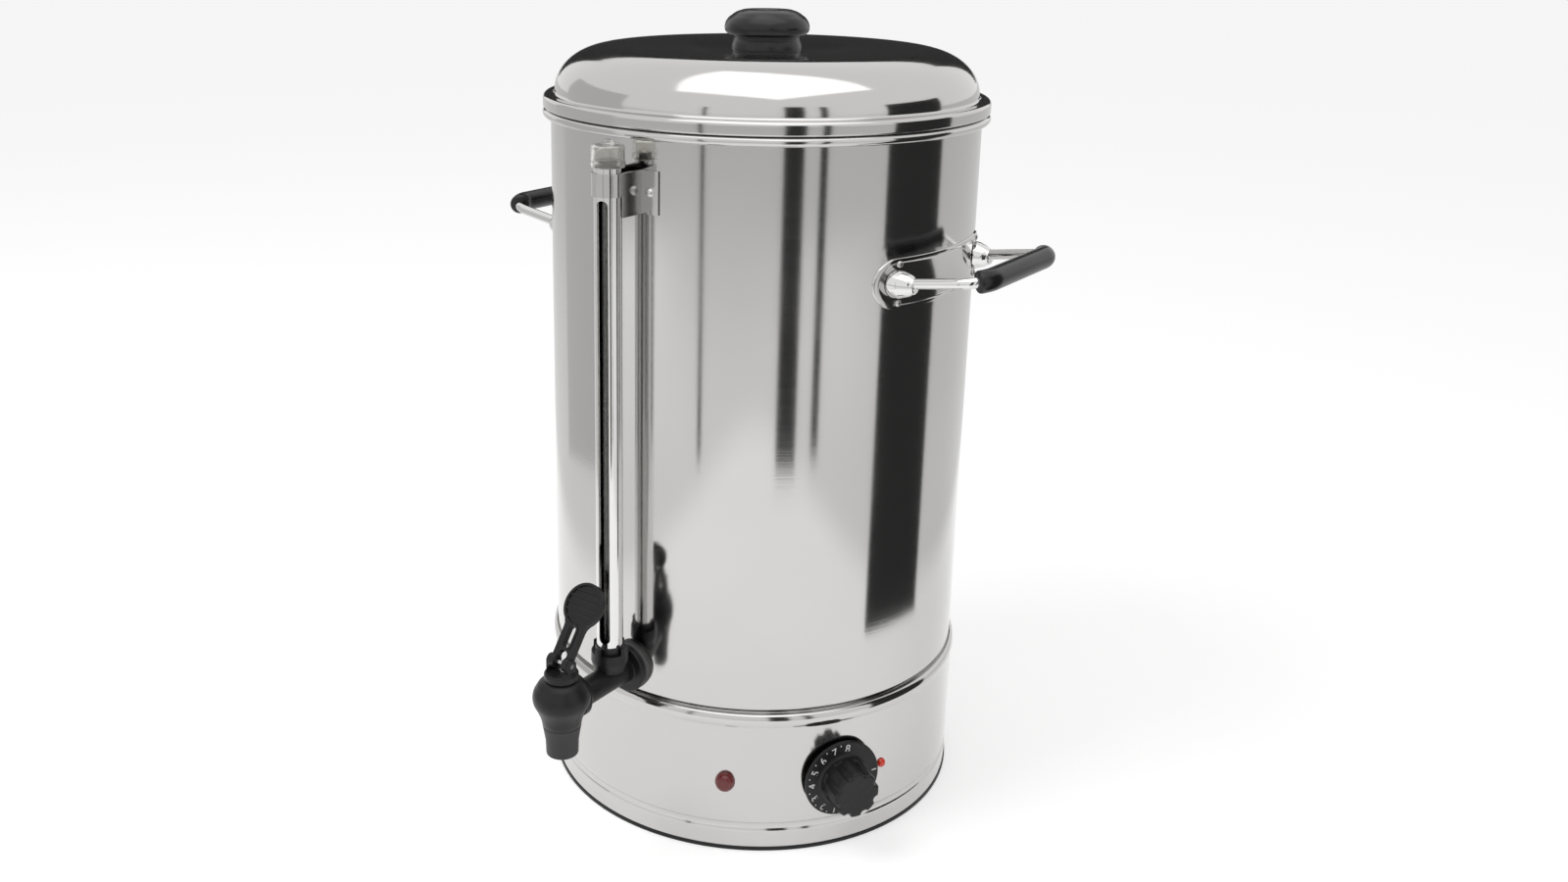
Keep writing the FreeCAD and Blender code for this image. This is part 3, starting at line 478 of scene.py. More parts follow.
# tank: one polished wall with a rolled rim
tank = {"radius": 135.0, "wall": 1.0, "floor": 96.0, "rim": 446.4, "bead": 2.8}
fineTurns = 224  # segments round the tank, the lid and the skirt


def makeTank():
    r, w, z, b = tank["radius"], tank["wall"], tank["floor"], tank["bead"]
    cx, cz, slant = r + b - w * 0.5, tank["rim"] - b, b * math.sqrt(0.5)
    steps = [(0, z), (r - 2.4, z), ((r - 0.7, z + 0.7), (r, z + 2.4)), (r, cz - 1.6),
             ((cx + b, cz), (cx, cz + b)), ((cx - slant, cz + slant), (cx - b, cz)),
             (r - w, cz - 2.2), (r - w, z + 3), ((r - w - 0.6, z + 1.5), (r - w - 2.4, z + w)), (0, z + w)]
    wall = turned("tankWall", steps, segments=fineTurns)
    settle(wall, "urn", looks["polished_steel"], ["tank"])


makeTank()
print("tank")

# lid: pressed dome with a flat crest, a gently dished middle and a rolled flange
lid = {"under": 446.7, "height": 37.3, "crestIn": 63.0, "dishIn": 25.0, "dishEase": 0.45, "crestOut": 97.0,
       "recess": 3.5, "side": 132.5, "flange": 8.0, "reach": 139.8, "lip": 9.0, "wall": 1.0, "hole": 2.7}


def makeLid():
    w, zc, zf = lid["wall"], lid["under"] + lid["height"], lid["under"] + lid["flange"]
    zr, side, crest, inner = zc - lid["recess"], lid["side"], lid["crestOut"], lid["crestIn"]
    across, rise = side - crest, zc - zf - 2
    outer = ellipse((crest, zf + 2), across, rise, 90, 0, 20)
    under = ellipse((crest, zf + 2), across - w, rise - w, 0, 90, 16)
    r, z0 = lid["reach"], lid["under"]
    dish, ease = lid["dishIn"], lid["dishEase"]
    middle, zm = (inner + dish) * 0.5, (zr + zc) * 0.5
    steps = [(lid["hole"], zr), (dish, zr), (((dish + middle) * 0.5, zr + ease), (middle, zm)),
             (((inner + middle) * 0.5, zc - ease), (inner, zc)), *outer,
             ((side + 0.5, zf + 0.7), (side + 2, zf)), (r - 2.4, zf),
             ((r - 0.7, zf - 0.7), (r, zf - 2.4)), (r, z0 + 1.2),
             ((r - 0.4, z0 + 0.3), (r - 1.3, z0)), (side, z0), (side, z0 - lid["lip"]),
             (side - w, z0 - lid["lip"]), (side - w, zf + 2), *under[1:], (inner, zc - w),
             (middle, zm - w), (dish, zr - w), (lid["hole"], zr - w)]
    shell = turned("lidShell", steps, segments=fineTurns)
    settle(shell, "lid", looks["polished_steel"], ["lid_shell"])


makeLid()

lidKnob = {"foot": 21.6, "waist": 20.2, "radius": 26.5, "height": 25.5, "dish": 1.5, "hole": 2.6}


def makeLidKnob():
    z = lid["under"] + lid["height"] - lid["recess"]
    f, v, k, h, hole = (lidKnob[n] for n in ("foot", "waist", "radius", "height", "hole"))
    steps = [(0, z + 8), (hole, z + 8), (hole, z), (f, z), ((f + 0.4, z + 1.2), (f + 0.4, z + 2.4)),
             ((f - 0.2, z + 5.6), (v, z + 8.2)), ((v + 0.3, z + 9.4), (f + 1.6, z + 10.2)),
             ((k - 1.3, z + 11.4), (k, z + 14.6)), ((k - 1.2, z + 18.8), (k - 4.6, z + h - 3.4)),
             ((k - 7, z + h - 1.7), (k - 10, z + h - 0.6)), ((k - 12.6, z + h), (k - 15, z + h - 0.3)),
             ((5.6, z + h - 1.3), (0, z + h - lidKnob["dish"]))]
    knob = turned("lidKnob", steps, segments=96)
    settle(knob, "lid", gripBlack, ["lid_knob"])


makeLidKnob()
print("lid")

# skirt: a rounded bead under the seam, a pressed groove near the foot, and a dark foot ring
skirt = {"radius": 136.6, "wall": 1.2, "bottom": 2.6, "top": 95.7, "beadLow": 86.0, "beadTop": 94.2,
         "bulge": 1.3, "recess": 3.0, "groove": 17.0, "grooveHalf": 3.0, "grooveDepth": 1.0, "ledge": 12.0}
footRing = {"radius": 137.2, "inner": 130.6, "height": 2.6}


def makeSkirt():
    r, w, z0, top = skirt["radius"], skirt["wall"], skirt["bottom"], skirt["top"]
    z1, z2, g, ledge = skirt["beadLow"], skirt["beadTop"], skirt["recess"], skirt["ledge"]
    lg, lh, ld = skirt["groove"], skirt["grooveHalf"], skirt["grooveDepth"]
    steps = [(r, z0), (r, lg - lh - 1.4), ((r - 0.2, lg - lh + 0.1), (r - 0.6, lg - lh + 0.9)),
             ((r - ld, lg), (r - 0.6, lg + lh - 0.9)), ((r - 0.2, lg + lh - 0.1), (r, lg + lh + 1.4)),
             (r, z1 - 0.8), ((r + 0.15, z1), (r + 0.6, z1 + 1)),
             ((r + skirt["bulge"], (z1 + z2) * 0.5), (r + 0.5, z2 - 0.9)), ((r - 0.3, z2), (r - g, z2 + 0.1)),
             (r - g, top), (r - w - ledge, top), (r - w - ledge, top - w), (r - g - w, top - w),
             (r - g - w, z2 - w), (r - w, z1), (r - w, lg + lh + 1.5), (r - ld - w, lg),
             (r - w, lg - lh - 1.5), (r - w, z0)]
    band = turned("skirtBand", steps, segments=fineTurns)
    settle(band, "urn", looks["polished_steel"], ["skirt"])
    r, inner, h = footRing["radius"], footRing["inner"], footRing["height"]
    steps = [(inner, 0), (r - 0.8, 0), ((r - 0.2, 0.2), (r, 0.8)), (r, h - 0.3),
             ((r - 0.1, h - 0.1), (r - 0.3, h)), (inner, h)]
    foot = turned("footRing", steps, segments=160)
    settle(foot, "urn", looks["black_plastic"], ["base_ring"])


makeSkirt()
print("skirt")

# tap: hollow ball over a tapered spout, a shank through the wall and a socket for the gauge
tap = {"y": -198.0, "z": 112.0, "shank": 8.0, "bore": 5.2, "wallY": -119.0, "flange": 15.0, "flangeY": -141.2,
       "flangeThick": 4.0, "collar": 8.8, "ball": 17.2, "chamber": 8.0, "seat": 106.0, "joint": 101.0,
       "spoutBottom": 82.0, "spout": 9.6, "spoutBore": 5.8, "topZ": 130.5, "top": 9.4, "gaugeY": -154.0}


def makeTap():
    y, z, b, ballZ = tap["y"], tap["z"], tap["ball"], tap["z"] + 6.5
    s, z0, zj, zt = tap["spout"], tap["spoutBottom"], tap["joint"], tap["topZ"]
    upright = Matrix.Translation((0, y, 0))
    # one outer line runs up the spout and the ball; the joint cuts it
    line = [Vector(p) for p in ((s, z0 + 1), (s + 0.25, z0 + 9), (s + 1.3, z0 + 15.5))]
    line += arcThrough(line[-1], Vector((b - 3.4, ballZ - 9)), Vector((b - 1.1, ballZ - 4.4)))
    shoulder = ((b, ballZ), (b - 2.4, ballZ + 7.4))
    low = [tuple(p) for p in line if p.y < zj - 0.2]
    high = [tuple(p) for p in line if p.y > zj + 0.2]
    joint = (low[-1][0] + (high[0][0] - low[-1][0]) * (zj - low[-1][1]) / (high[0][1] - low[-1][1]))
    steps = [(tap["spoutBore"], zj), (joint - 0.25, zj), (joint, zj + 0.3), *high, shoulder,
             ((b - 4.6, ballZ + 10.4), (tap["top"], zt)), (tap["chamber"], zt), (tap["chamber"], tap["seat"]),
             (tap["spoutBore"], tap["seat"])]
    ball = turned("ball", steps, upright, 96)
    reach = tap["wallY"] - y
    shankSteps = [(tap["bore"], 10), (11.2, 10), (11.2, 14.5), ((8.9, 16.6), (tap["shank"], 20.5)),
                  (tap["shank"], reach), (tap["bore"], reach)]
    shank = turned("shank", shankSteps, facing((0, y, z), (0, 1, 0)), 64)
    f, t = tap["flange"], tap["flangeThick"]
    within = tap["shank"] - 0.5
    flangeSteps = [(within, -3), (tap["collar"], -3), (tap["collar"], -0.4), ((9.4, -0.1), (10.4, 0)),
                   (f - 1, 0), ((f - 0.3, 0.3), (f, 1)), (f, t), (within, t)]
    flange = turned("flange", flangeSteps, facing((0, tap["flangeY"], z), (0, 1, 0)), 64)
    socketSteps = [(5.5, 6.5), (9.7, 6.5), (9.7, 14.6), (9.2, 15), (5.5, 15)]
    socket = turned("socket", socketSteps, Matrix.Translation((0, tap["gaugeY"], z)), 64)
    body = joined("tapBody", [ball, shank, flange, socket])
    settle(body, "urn", looks["black_plastic"], ["tap_body"])
    steps = [(tap["spoutBore"], z0), (s - 1, z0), ((s - 0.3, z0 + 0.3), (s, z0 + 1)), *low[1:],
             (joint, zj - 0.3), (joint - 0.25, zj), (tap["spoutBore"], zj)]
    spout = turned("tapSpout", steps, upright, 96)
    settle(spout, "urn", spoutBlack, ["tap_spout"])


makeTap()

# tap lever: forked hub, an arm with a framed window, and a round paddle with a rim and ribs
lever = {"pinZ": 141.0, "width": 14.4, "length": 48.6, "lean": 37.0, "thick": 4.0, "paddle": 13.6, "rim": 1.7,
         "recess": 1.0, "rib": 4.1, "windowWidth": 5.0, "windowLow": 8.6, "windowLength": 13.4,
         "fork": 6.0, "forkHeight": 7.0, "hub": 4.2, "frame": 1.4}


def roundLoop(x, z0, z1, count=10):  # an upright slot shape
    turns = [math.pi * k / count for k in range(count + 1)]
    top = [(x * math.cos(t), z1 + x * math.sin(t)) for t in turns]
    return top + [(-px, z0 + z1 - pz) for px, pz in top]


def makeLever():
    half, end, p, t = lever["width"] * 0.5, lever["length"] - lever["paddle"], lever["paddle"], lever["thick"]
    reach = math.asin(half / p)
    turns = [-math.pi / 2 + reach + 0.16 + (math.tau - 2 * reach - 0.32) * k / 60 for k in range(61)]
    fork, forkTop = lever["fork"] * 0.5, lever["forkHeight"]
    neck = end - math.sqrt(p * p - half * half)
    edge = [(fork, -0.5), (half, -0.5), (half, neck - 3.4), (half + 0.35, neck - 1.2)]
    edge += [(p * math.cos(a), end + p * math.sin(a)) for a in turns]
    edge += [(-half - 0.35, neck - 1.2), (-half, neck - 3.4), (-half, -0.5), (-fork, -0.5)]
    edge += [(-fork, forkTop - 1.5), (-fork + 1.5, forkTop), (fork - 1.5, forkTop), (fork, forkTop - 1.5)]
    wHalf = lever["windowWidth"] * 0.5
    low, high = lever["windowLow"] + wHalf, lever["windowLow"] + lever["windowLength"] - wHalf
    window, frameLoop = roundLoop(wHalf, low, high), roundLoop(wHalf + lever["frame"], low, high)
    inner = p - lever["rim"]
    bowlTurns = [math.tau * k / 64 for k in range(64)]
    bowl = [(inner * math.cos(a), end + inner * math.sin(a)) for a in bowlTurns]
    upright = Matrix.Rotation(math.radians(90), 4, "X")  # the flat sheet's +Z becomes the tap's -Y
    layers = [("back", [edge, window], t - lever["recess"], 0.35, 0.5),
              ("front", [edge, window, bowl], 1.6, 0.35, -1.2),
              ("border", [frameLoop, window], 0.9, 0.2, -2.1)]
    sheets = [cutSheet(name, loops, depth, bevel, Matrix.Translation((0, y, 0)) @ upright)
              for name, loops, depth, bevel, y in layers]
    bar = cutSheet("bar", [[(-0.5, -0.55), (0.5, -0.55), (0.5, 0.55), (-0.5, 0.55)]], 1.0, 0.1, upright)
    marks = []
    for k in range(-2, 3):
        rise = k * lever["rib"]
        chord = 2 * math.sqrt(inner * inner - rise * rise) + 0.4
        marks.append(((0, -1.2, end + rise), (0, 0, 0), (chord, 1, 1)))
    ribs = onMarks("ribs", marks, bar, looks["black_plastic"])
    cheeks = []
    h, hole = lever["hub"], 1.55
    for x in (fork, -half):
        width = half - fork
        steps = [(hole, 0), (h - 0.4, 0), (h, 0.4), (h, width - 0.4), (h - 0.4, width), (hole, width)]
        cheeks.append(turned("cheek", steps, facing((x, 0, 0), (1, 0, 0)), 40))
    whole = joined("tapLever", [*sheets, ribs, *cheeks])
    lean = Matrix.Rotation(math.radians(-lever["lean"]), 4, "X")
    whole.data.transform(Matrix.Translation((0, tap["y"], lever["pinZ"])) @ lean)
    settle(whole, "lever", looks["black_plastic"], ["tap_lever"])


makeLever()
print("tap")

# water gauge: a slotted chromed guard round a glass tube, with a smoky cap
gauge = {"y": -154.0, "bottom": 130.0, "top": 427.0, "guard": 8.0, "wall": 0.8, "slot": 7.0, "slotTurn": 15.0,
         "slotLow": 138.0, "slotHigh": 409.0, "glass": 5.2, "glassWall": 1.3, "glassLow": 121.2,
         "glassHigh": 431.0, "cap": 10.0, "capHeight": 14.5}


def makeGuard():
    half = gauge["slot"] * 0.5
    low, high = gauge["slotLow"] + half, gauge["slotHigh"] - half
    rows = [(gauge["bottom"], 0), (gauge["slotLow"] - 1, 0)]
    ends = [math.radians(k * 9) for k in range(11)]
    rows += [(low - half * math.cos(a), half * math.sin(a)) for a in ends]
    rows += [(high + half * math.cos(a), half * math.sin(a)) for a in reversed(ends)]
    rows += [(gauge["slotHigh"] + 1, 0), (gauge["top"], 0)]
    count, outer, inner = 64, gauge["guard"], gauge["guard"] - gauge["wall"]
    middle = math.radians(-90 + gauge["slotTurn"])
    points, faces = [], []
    for radius in (outer, inner):
        for z, open_ in rows:
            gap = math.asin(min(1, open_ / radius))
            for k in range(count + 1):
                a = middle + gap + (math.tau - 2 * gap) * k / count
                points.append(Vector((radius * math.cos(a), gauge["y"] + radius * math.sin(a), z)))
    wide, tall = count + 1, len(rows)
    for face in (0, tall * wide):
        for j in range(tall - 1):
            for k in range(count):
                a = face + j * wide + k
                faces.append((a, a + 1, a + wide + 1, a + wide))
    for j in range(2, tall - 3):  # the slot's two edges
        for k in (0, count):
            a, b = j * wide + k, (j + 1) * wide + k
            faces.append((a, b, b + tall * wide, a + tall * wide))
    for j in (0, tall - 1):
        for k in range(count):
            a = j * wide + k
            faces.append((a, a + 1, a + 1 + tall * wide, a + tall * wide))
    guard = fromShell("gaugeGuard", points, faces)
    settle(guard, "urn", looks["chrome_rod"], ["gauge_guard"])


def makeGaugeTube():
    r, w = gauge["glass"], gauge["glassWall"]
    lowZ, highZ, axis = gauge["glassLow"], gauge["glassHigh"], Matrix.Translation((0, gauge["y"], 0))
    steps = [(r - w, lowZ), (r - 0.3, lowZ), (r, lowZ + 0.3), (r, highZ - 0.5),
             ((r - w * 0.5, highZ), (r - w, highZ - 0.5))]
    glass = turned("gaugeGlass", steps, axis, 48)
    settle(glass, "urn", looks["clear_glass"], ["gauge_glass"])
    z, r, h = gauge["top"], gauge["cap"], gauge["capHeight"]
    steps = [(r - 1.8, z), (r - 0.5, z), ((r - 0.15, z + 0.15), (r, z + 0.5)), (r, z + 3), (r - 0.5, z + 3.4),
             (r - 0.5, z + h - 4.2), ((r - 1, z + h - 2.4), (r - 2.6, z + h - 1.6)), (4.2, z + h - 1.2),
             ((3.1, z + h - 0.8), (2.4, z + h + 0.4)), ((1.4, z + h + 1.1), (0, z + h + 1.2)),
             (0, z + h - 2.6), (r - 3.4, z + h - 3), ((r - 2.3, z + h - 3.4), (r - 2, z + h - 4.6)),
             (r - 1.8, z + 4)]
    cap = turned("gaugeCap", steps, axis, 64)
    settle(cap, "urn", looks["amber_cap"], ["gauge_cap"])


makeGuard()
makeGaugeTube()
print("gauge")

# handles: bent rods in chromed bosses, black sleeves, and riveted plates that follow the wall
handle = {"z": 360.0, "half": 48.0, "reach": 51.0, "tilt": 9.0, "rod": 3.2, "corner": 15.0, "grip": 6.6,
          "inside": 13.0, "plateHalf": 64.0, "plateHeight": 30.0, "plateThick": 1.2, "boss": 8.6,
          "bossHeight": 11.0, "rivet": 2.1, "rivetHeight": 1.1, "rivetSpread": 11.4, "endRound": 2.2}
wallFace = tank["radius"] + handle["plateThick"]
rootX = math.sqrt(wallFace ** 2 - handle["half"] ** 2)
handleSides = (("Right", False), ("Left", True))


def cornerArc(side, startDegrees, endDegrees, count):
    c = handle["corner"]
    middle = Vector((handle["reach"] - c, side * (handle["half"] - c), 0))
    turns = [math.radians(startDegrees + (endDegrees - startDegrees) * k / count) for k in range(count + 1)]
    return [middle + Vector((math.cos(t), math.sin(t), 0)) * c for t in turns]


def handlePath(startDegrees):  # from one bend to the other, the bends started at an angle
    return cornerArc(-1, startDegrees, 0, 18) + cornerArc(1, 0, -startDegrees, 18)


def spaced(path, places):  # points at given distances along a path
    lengths = [0.0]
    for a, b in zip(path, path[1:]):
        lengths.append(lengths[-1] + (b - a).length)
    found = []
    for place in places:
        place = min(max(place, 0), lengths[-1])
        k = max(j for j in range(len(path) - 1) if lengths[j] <= place)
        share = (place - lengths[k]) / (lengths[k + 1] - lengths[k])
        found.append(path[k].lerp(path[k + 1], share))
    return found


def pathLength(path):
    return sum((b - a).length for a, b in zip(path, path[1:]))


def plateLoop(inset, lift):
    h = handle["plateHeight"] * 0.5
    centre, r = handle["plateHalf"] - h, h - inset
    turns = [math.radians(k * 6) for k in range(16)]
    upper = [(centre + r * math.cos(a), r * math.sin(a)) for a in turns]
    upper += [(centre - 2 * centre * k / 24, r) for k in range(1, 24)]
    upper += [(-y, z) for y, z in reversed(upper[:16])]
    lower = [(y, -z) for y, z in reversed(upper[1:-1])]
    radius = tank["radius"] + lift
    return [Vector((math.sqrt(radius ** 2 - y ** 2), y, handle["z"] + z)) for y, z in upper + lower]


def makePlate(name):
    t = handle["plateThick"]
    levels = [(0, 0.02), (0, t * 0.5), (0.3, t * 0.9), (1, t), (2.3, t), (2.9, t * 0.6), (3.8, t * 0.35)]
    loops = [plateLoop(inset, lift) for inset, lift in levels]
    count = len(loops[0])
    points = [p for loop in loops for p in loop]
    faces = []
    for level in range(len(loops) - 1):
        a, b = level * count, (level + 1) * count
        faces += [(a + k, a + (k + 1) % count, b + (k + 1) % count, b + k) for k in range(count)]
    halfway = count // 2
    for start in (0, (len(loops) - 1) * count):  # upright strips close the face, so that it can bend
        for k in range(halfway):
            corners = (start + k, start + k + 1, start + (count - k - 1) % count, start + (count - k) % count)
            faces.append(list(dict.fromkeys(corners)))
    return fromShell(name, points, faces)


def makeBoss(y):
    r, h, rod = handle["boss"], handle["bossHeight"], handle["rod"]
    steps = [(0, -12), (r, -12), (r, 0.8), ((r - 0.3, 2.6), (r - 0.9, 4.2)),
             ((r * 0.72, h * 0.72), (rod + 1.6, h - 1)), ((rod + 1, h - 0.2), (rod + 0.3, h)), (0, h)]
    boss = turned("boss", steps, facing((rootX, y, handle["z"]), (1, 0, 0)), 64)
    for vertex in boss.data.vertices:  # the foot follows the wall
        vertex.co.x = max(vertex.co.x, math.sqrt((wallFace - 0.4) ** 2 - vertex.co.y ** 2))
    return boss


def makeHandle(side, mirror):
    name = side.lower()
    tilt = Matrix.Rotation(math.radians(-handle["tilt"]), 4, "Y")
    raised = Matrix.Translation((rootX, 0, handle["z"])) @ tilt
    start = Vector((-handle["inside"], -handle["half"], 0))
    bends = handlePath(-90)
    rodPath = [start] + bends + [Vector((start.x, -start.y, 0))]
    rod = swept("rod" + side, [raised @ p for p in rodPath], [handle["rod"]] * len(rodPath), 40)
    settle(rod, "urn", looks["chrome_rod"], ["handle_rod_" + name], mirror=mirror)

    sleeve = handlePath(-45)
    total, e, g = pathLength(sleeve), handle["endRound"], handle["grip"]
    ends = [e * (1 - math.cos(math.radians(k * 15))) for k in range(7)]
    places = ends + [e + (total - 2 * e) * k / 60 for k in range(1, 60)] + [total - s for s in reversed(ends)]
    radii = []
    for place in places:
        back = max(0, e - min(place, total - place))
        radii.append(g - e + math.sqrt(max(0, e * e - back * back)))
    grip = swept("grip" + side, [raised @ p for p in spaced(sleeve, places)], radii, 48)
    settle(grip, "urn", gripBlack, ["handle_grip_" + name], mirror=mirror)

    plate = makePlate("handlePlate" + side)
    settle(plate, "urn", looks["polished_steel"], ["handle_plate_" + name], mirror=mirror)
    bosses = joined("handleBosses" + side, [makeBoss(-handle["half"]), makeBoss(handle["half"])])
    settle(bosses, "urn", looks["chrome_rod"], ["handle_bosses_" + name], mirror=mirror)


def makeRivets():
    r, h = handle["rivet"], handle["rivetHeight"]
    head = turned("rivetHead", [(0, -0.4), (r, -0.4), (r, 0.05), ((r * 0.72, h * 0.72), (0, h))], segments=28)
    marks = []
    for side in (1, -1):
        for y in (-handle["half"], handle["half"]):
            for rise in (-1, 1):
                x = side * math.sqrt(wallFace ** 2 - y ** 2)
                turn = facing((0, 0, 0), (x, y, 0)).to_euler()
                marks.append(((x, y, handle["z"] + rise * handle["rivetSpread"]), turn, (1, 1, 1)))
    rivets = onMarks("handleRivets", marks, head, looks["steel_fastener"])
    nodes = ["handle_rivets_right", "handle_rivets_left"]
    settle(rivets, "urn", looks["steel_fastener"], nodes)


for sideName, mirrored in handleSides:
    makeHandle(sideName, mirrored)
makeRivets()
print("handles")

# controls: pilot lens, heat dial with generic numbers, red index dot
controls = {"z": 48.0, "pilotAngle": 28.0, "lens": 6.2, "lensHeight": 5.0, "indexAngle": 71.6, "index": 3.0,
            "indexHeight": 2.4}
dial = {"angle": 58.5, "standOff": 1.6, "radius": 25.0, "thick": 3.0, "grip": 15.5, "gripHeight": 19.0,
        "lobes": 8, "flute": 3.4, "digits": "87654321", "firstDigit": 83.0, "digitStep": 24.7,
        "digitRadius": 20.6, "digitHeight": 5.2, "dotRadius": 23.2, "dot": 0.42, "tick": 5.0}


def makeLamps():
    r, h, c = controls["lens"], controls["lensHeight"], controls["z"]
    at = outward(controls["pilotAngle"])
    steps = [(0, 0.05), (r, 0.05), (r, 1), ((r - 0.1, 1.3), (r - 0.5, 1.5)),
             ((r * 0.84, h * 0.72), (r * 0.46, h)), ((r * 0.24, h + 0.15), (0, h + 0.2))]
    lens = turned("pilotLens", steps, facing(at * skirt["radius"] + up * c, at), 64)
    settle(lens, "urn", looks["red_lens"], ["pilot_lens"])
    r, h = controls["index"], controls["indexHeight"]
    at = outward(controls["indexAngle"])
    steps = [(0, -2), (r * 0.6, -2), (r * 0.6, 0.05), (r, 0.05), ((r * 0.74, h * 0.7), (0, h))]
    dot = turned("dialIndex", steps, facing(at * skirt["radius"] + up * c, at), 40)
    settle(dot, "urn", looks["index_red"], ["dial_index"])


def lobeRadius(angle, outer):
    step = math.tau / dial["lobes"]
    off = angle % step - step * 0.5
    centre, q = dial["grip"] + dial["flute"] * 0.42, dial["flute"]
    cut = q * q - (centre * math.sin(off)) ** 2
    if cut <= 0:
        return outer
    return min(outer, centre * math.cos(off) - math.sqrt(cut))


def makeDial():
    face = outward(dial["angle"])
    right = up.cross(face)
    place = Matrix.Translation(face * (skirt["radius"] + dial["standOff"]) + up * controls["z"])
    place = place @ Matrix((right, up, face)).transposed().to_4x4()
    r, t, g, top = dial["radius"], dial["thick"], dial["grip"], dial["thick"] + dial["gripHeight"]
    steps = [(0, 0), (r - 0.5, 0), ((r - 0.15, 0.15), (r, 0.5)), (r, t - 1.5),
             ((r - 0.2, t - 1), (r - 1, t - 0.7)), (g + 2.6, t - 0.1),
             ((g + 1.2, t + 0.2), (g, t + 1)), (g, t + 1.6), (0, t + 1.6)]
    disc = turned("disc", steps, place, 128)
    count = 256
    loops = []
    levels = [(t + 0.6, 0, 0), (t + 2.4, 0, 0), (t + 3.2, 0, 1), (top - 2, 0.35, 1), (top - 1.1, 0.5, 1),
              (top - 0.45, 0.9, 1), (top - 0.1, 1.5, 1), (top, 2.2, 1), (top - 0.2, 5, 1), (top - 0.3, 9, 1)]
    for z, inset, lobed in levels:
        ring = []
        for k in range(count):
            a = math.tau * k / count
            full = g - inset
            deep = min(full, lobeRadius(a, dial["grip"]) - inset) if lobed else full
            ring.append(Vector((deep * math.cos(a), deep * math.sin(a), z)))
        loops.append(ring)
    grip = stacked("grip", loops, place)
    knob = joined("dialKnob", [disc, grip])
    settle(knob, "dial", looks["black_plastic"], ["dial_knob"], crease=40)

    marks = []
    for k, digit in enumerate(dial["digits"]):
        angle = dial["firstDigit"] + dial["digitStep"] * k
        text = bpy.data.curves.new("digit", "FONT")
        text.body, text.size, text.extrude = digit, dial["digitHeight"] * 1.38, 0.12
        text.align_x, text.align_y, text.resolution_u = "CENTER", "CENTER", 4
        number = plain(piece("digit", text))
        a = math.radians(angle)
        at = Vector((math.cos(a), math.sin(a), 0)) * dial["digitRadius"] + up * (t - 0.32)
        number.data.transform(Matrix.Translation(at) @ Matrix.Rotation(a - math.pi / 2, 4, "Z"))
        marks.append(number)
    pin = turned("dot", [(0, 0), (dial["dot"], 0), (dial["dot"], 0.5), (0, 0.55)], segments=14)
    pin.data.transform(Matrix.Translation((0, 0, t - 0.85)))
    carrier = piece("dots", bpy.data.meshes.new("dots"))
    sweep = math.radians(dial["digitStep"]) * (len(dial["digits"]) - 2)
    sizes = {"Count": len(dial["digits"]) - 1, "Radius": dial["dotRadius"], "Sweep": sweep,
             "Start": math.radians(dial["firstDigit"] + dial["digitStep"] * 0.5)}
    marks.append(repeated(carrier, arcTree, pin, printWhite, sizes))
    tick = cutSheet("tick", [[(18.4, -0.4), (23.4, -0.4), (23.4, 0.4), (18.4, 0.4)]], 0.3, 0.05,
                    Matrix.Rotation(math.radians(dial["tick"]), 4, "Z"))
    tick.data.transform(Matrix.Translation((0, 0, t - 0.45)))
    marks.append(tick)
    printed = joined("dialPrint", marks)
    printed.data.transform(place)
    settle(printed, "dial", printWhite)


makeLamps()
makeDial()
print("controls")

# camera: fitted to the rim, seam and foot ellipses of the photograph, 1600 by 900
camera = {"distance": 913.0, "height": 559.2, "focal": 1466.7, "pitch": 15.70, "yaw": -3.049, "roll": 0.608,
          "turn": 34.0, "centreX": 700, "centreY": 330, "width": 1600, "high": 900, "sensor": 36.0}


def makeCamera():
    yaw, pitch, roll = (math.radians(camera[n]) for n in ("yaw", "pitch", "roll"))
    ahead = Vector((math.sin(yaw) * math.cos(pitch), math.cos(yaw) * math.cos(pitch), -math.sin(pitch)))
    flat = Vector((math.cos(yaw), -math.sin(yaw), 0))
    rise = flat.cross(ahead)
    right = flat * math.cos(roll) + rise * math.sin(roll)
    top = rise * math.cos(roll) - flat * math.sin(roll)
    turn = Matrix.Rotation(math.radians(camera["turn"]), 4, "Z")
    data = bpy.data.cameras.new("photoView")
    data.sensor_width = camera["sensor"]
    data.lens = camera["focal"] / camera["width"] * camera["sensor"]
    data.shift_x = (camera["width"] * 0.5 - camera["centreX"]) / camera["width"]
    data.shift_y = (camera["centreY"] - camera["high"] * 0.5) / camera["width"]
    data.clip_start, data.clip_end = 0.02, 60
    made = piece("photoView", data)
    eye = Vector((0, -camera["distance"], camera["height"])) * mm
    made.matrix_world = turn @ Matrix.Translation(eye) @ Matrix((right, top, -ahead)).transposed().to_4x4()
    bpy.context.scene.camera = made


makeCamera()

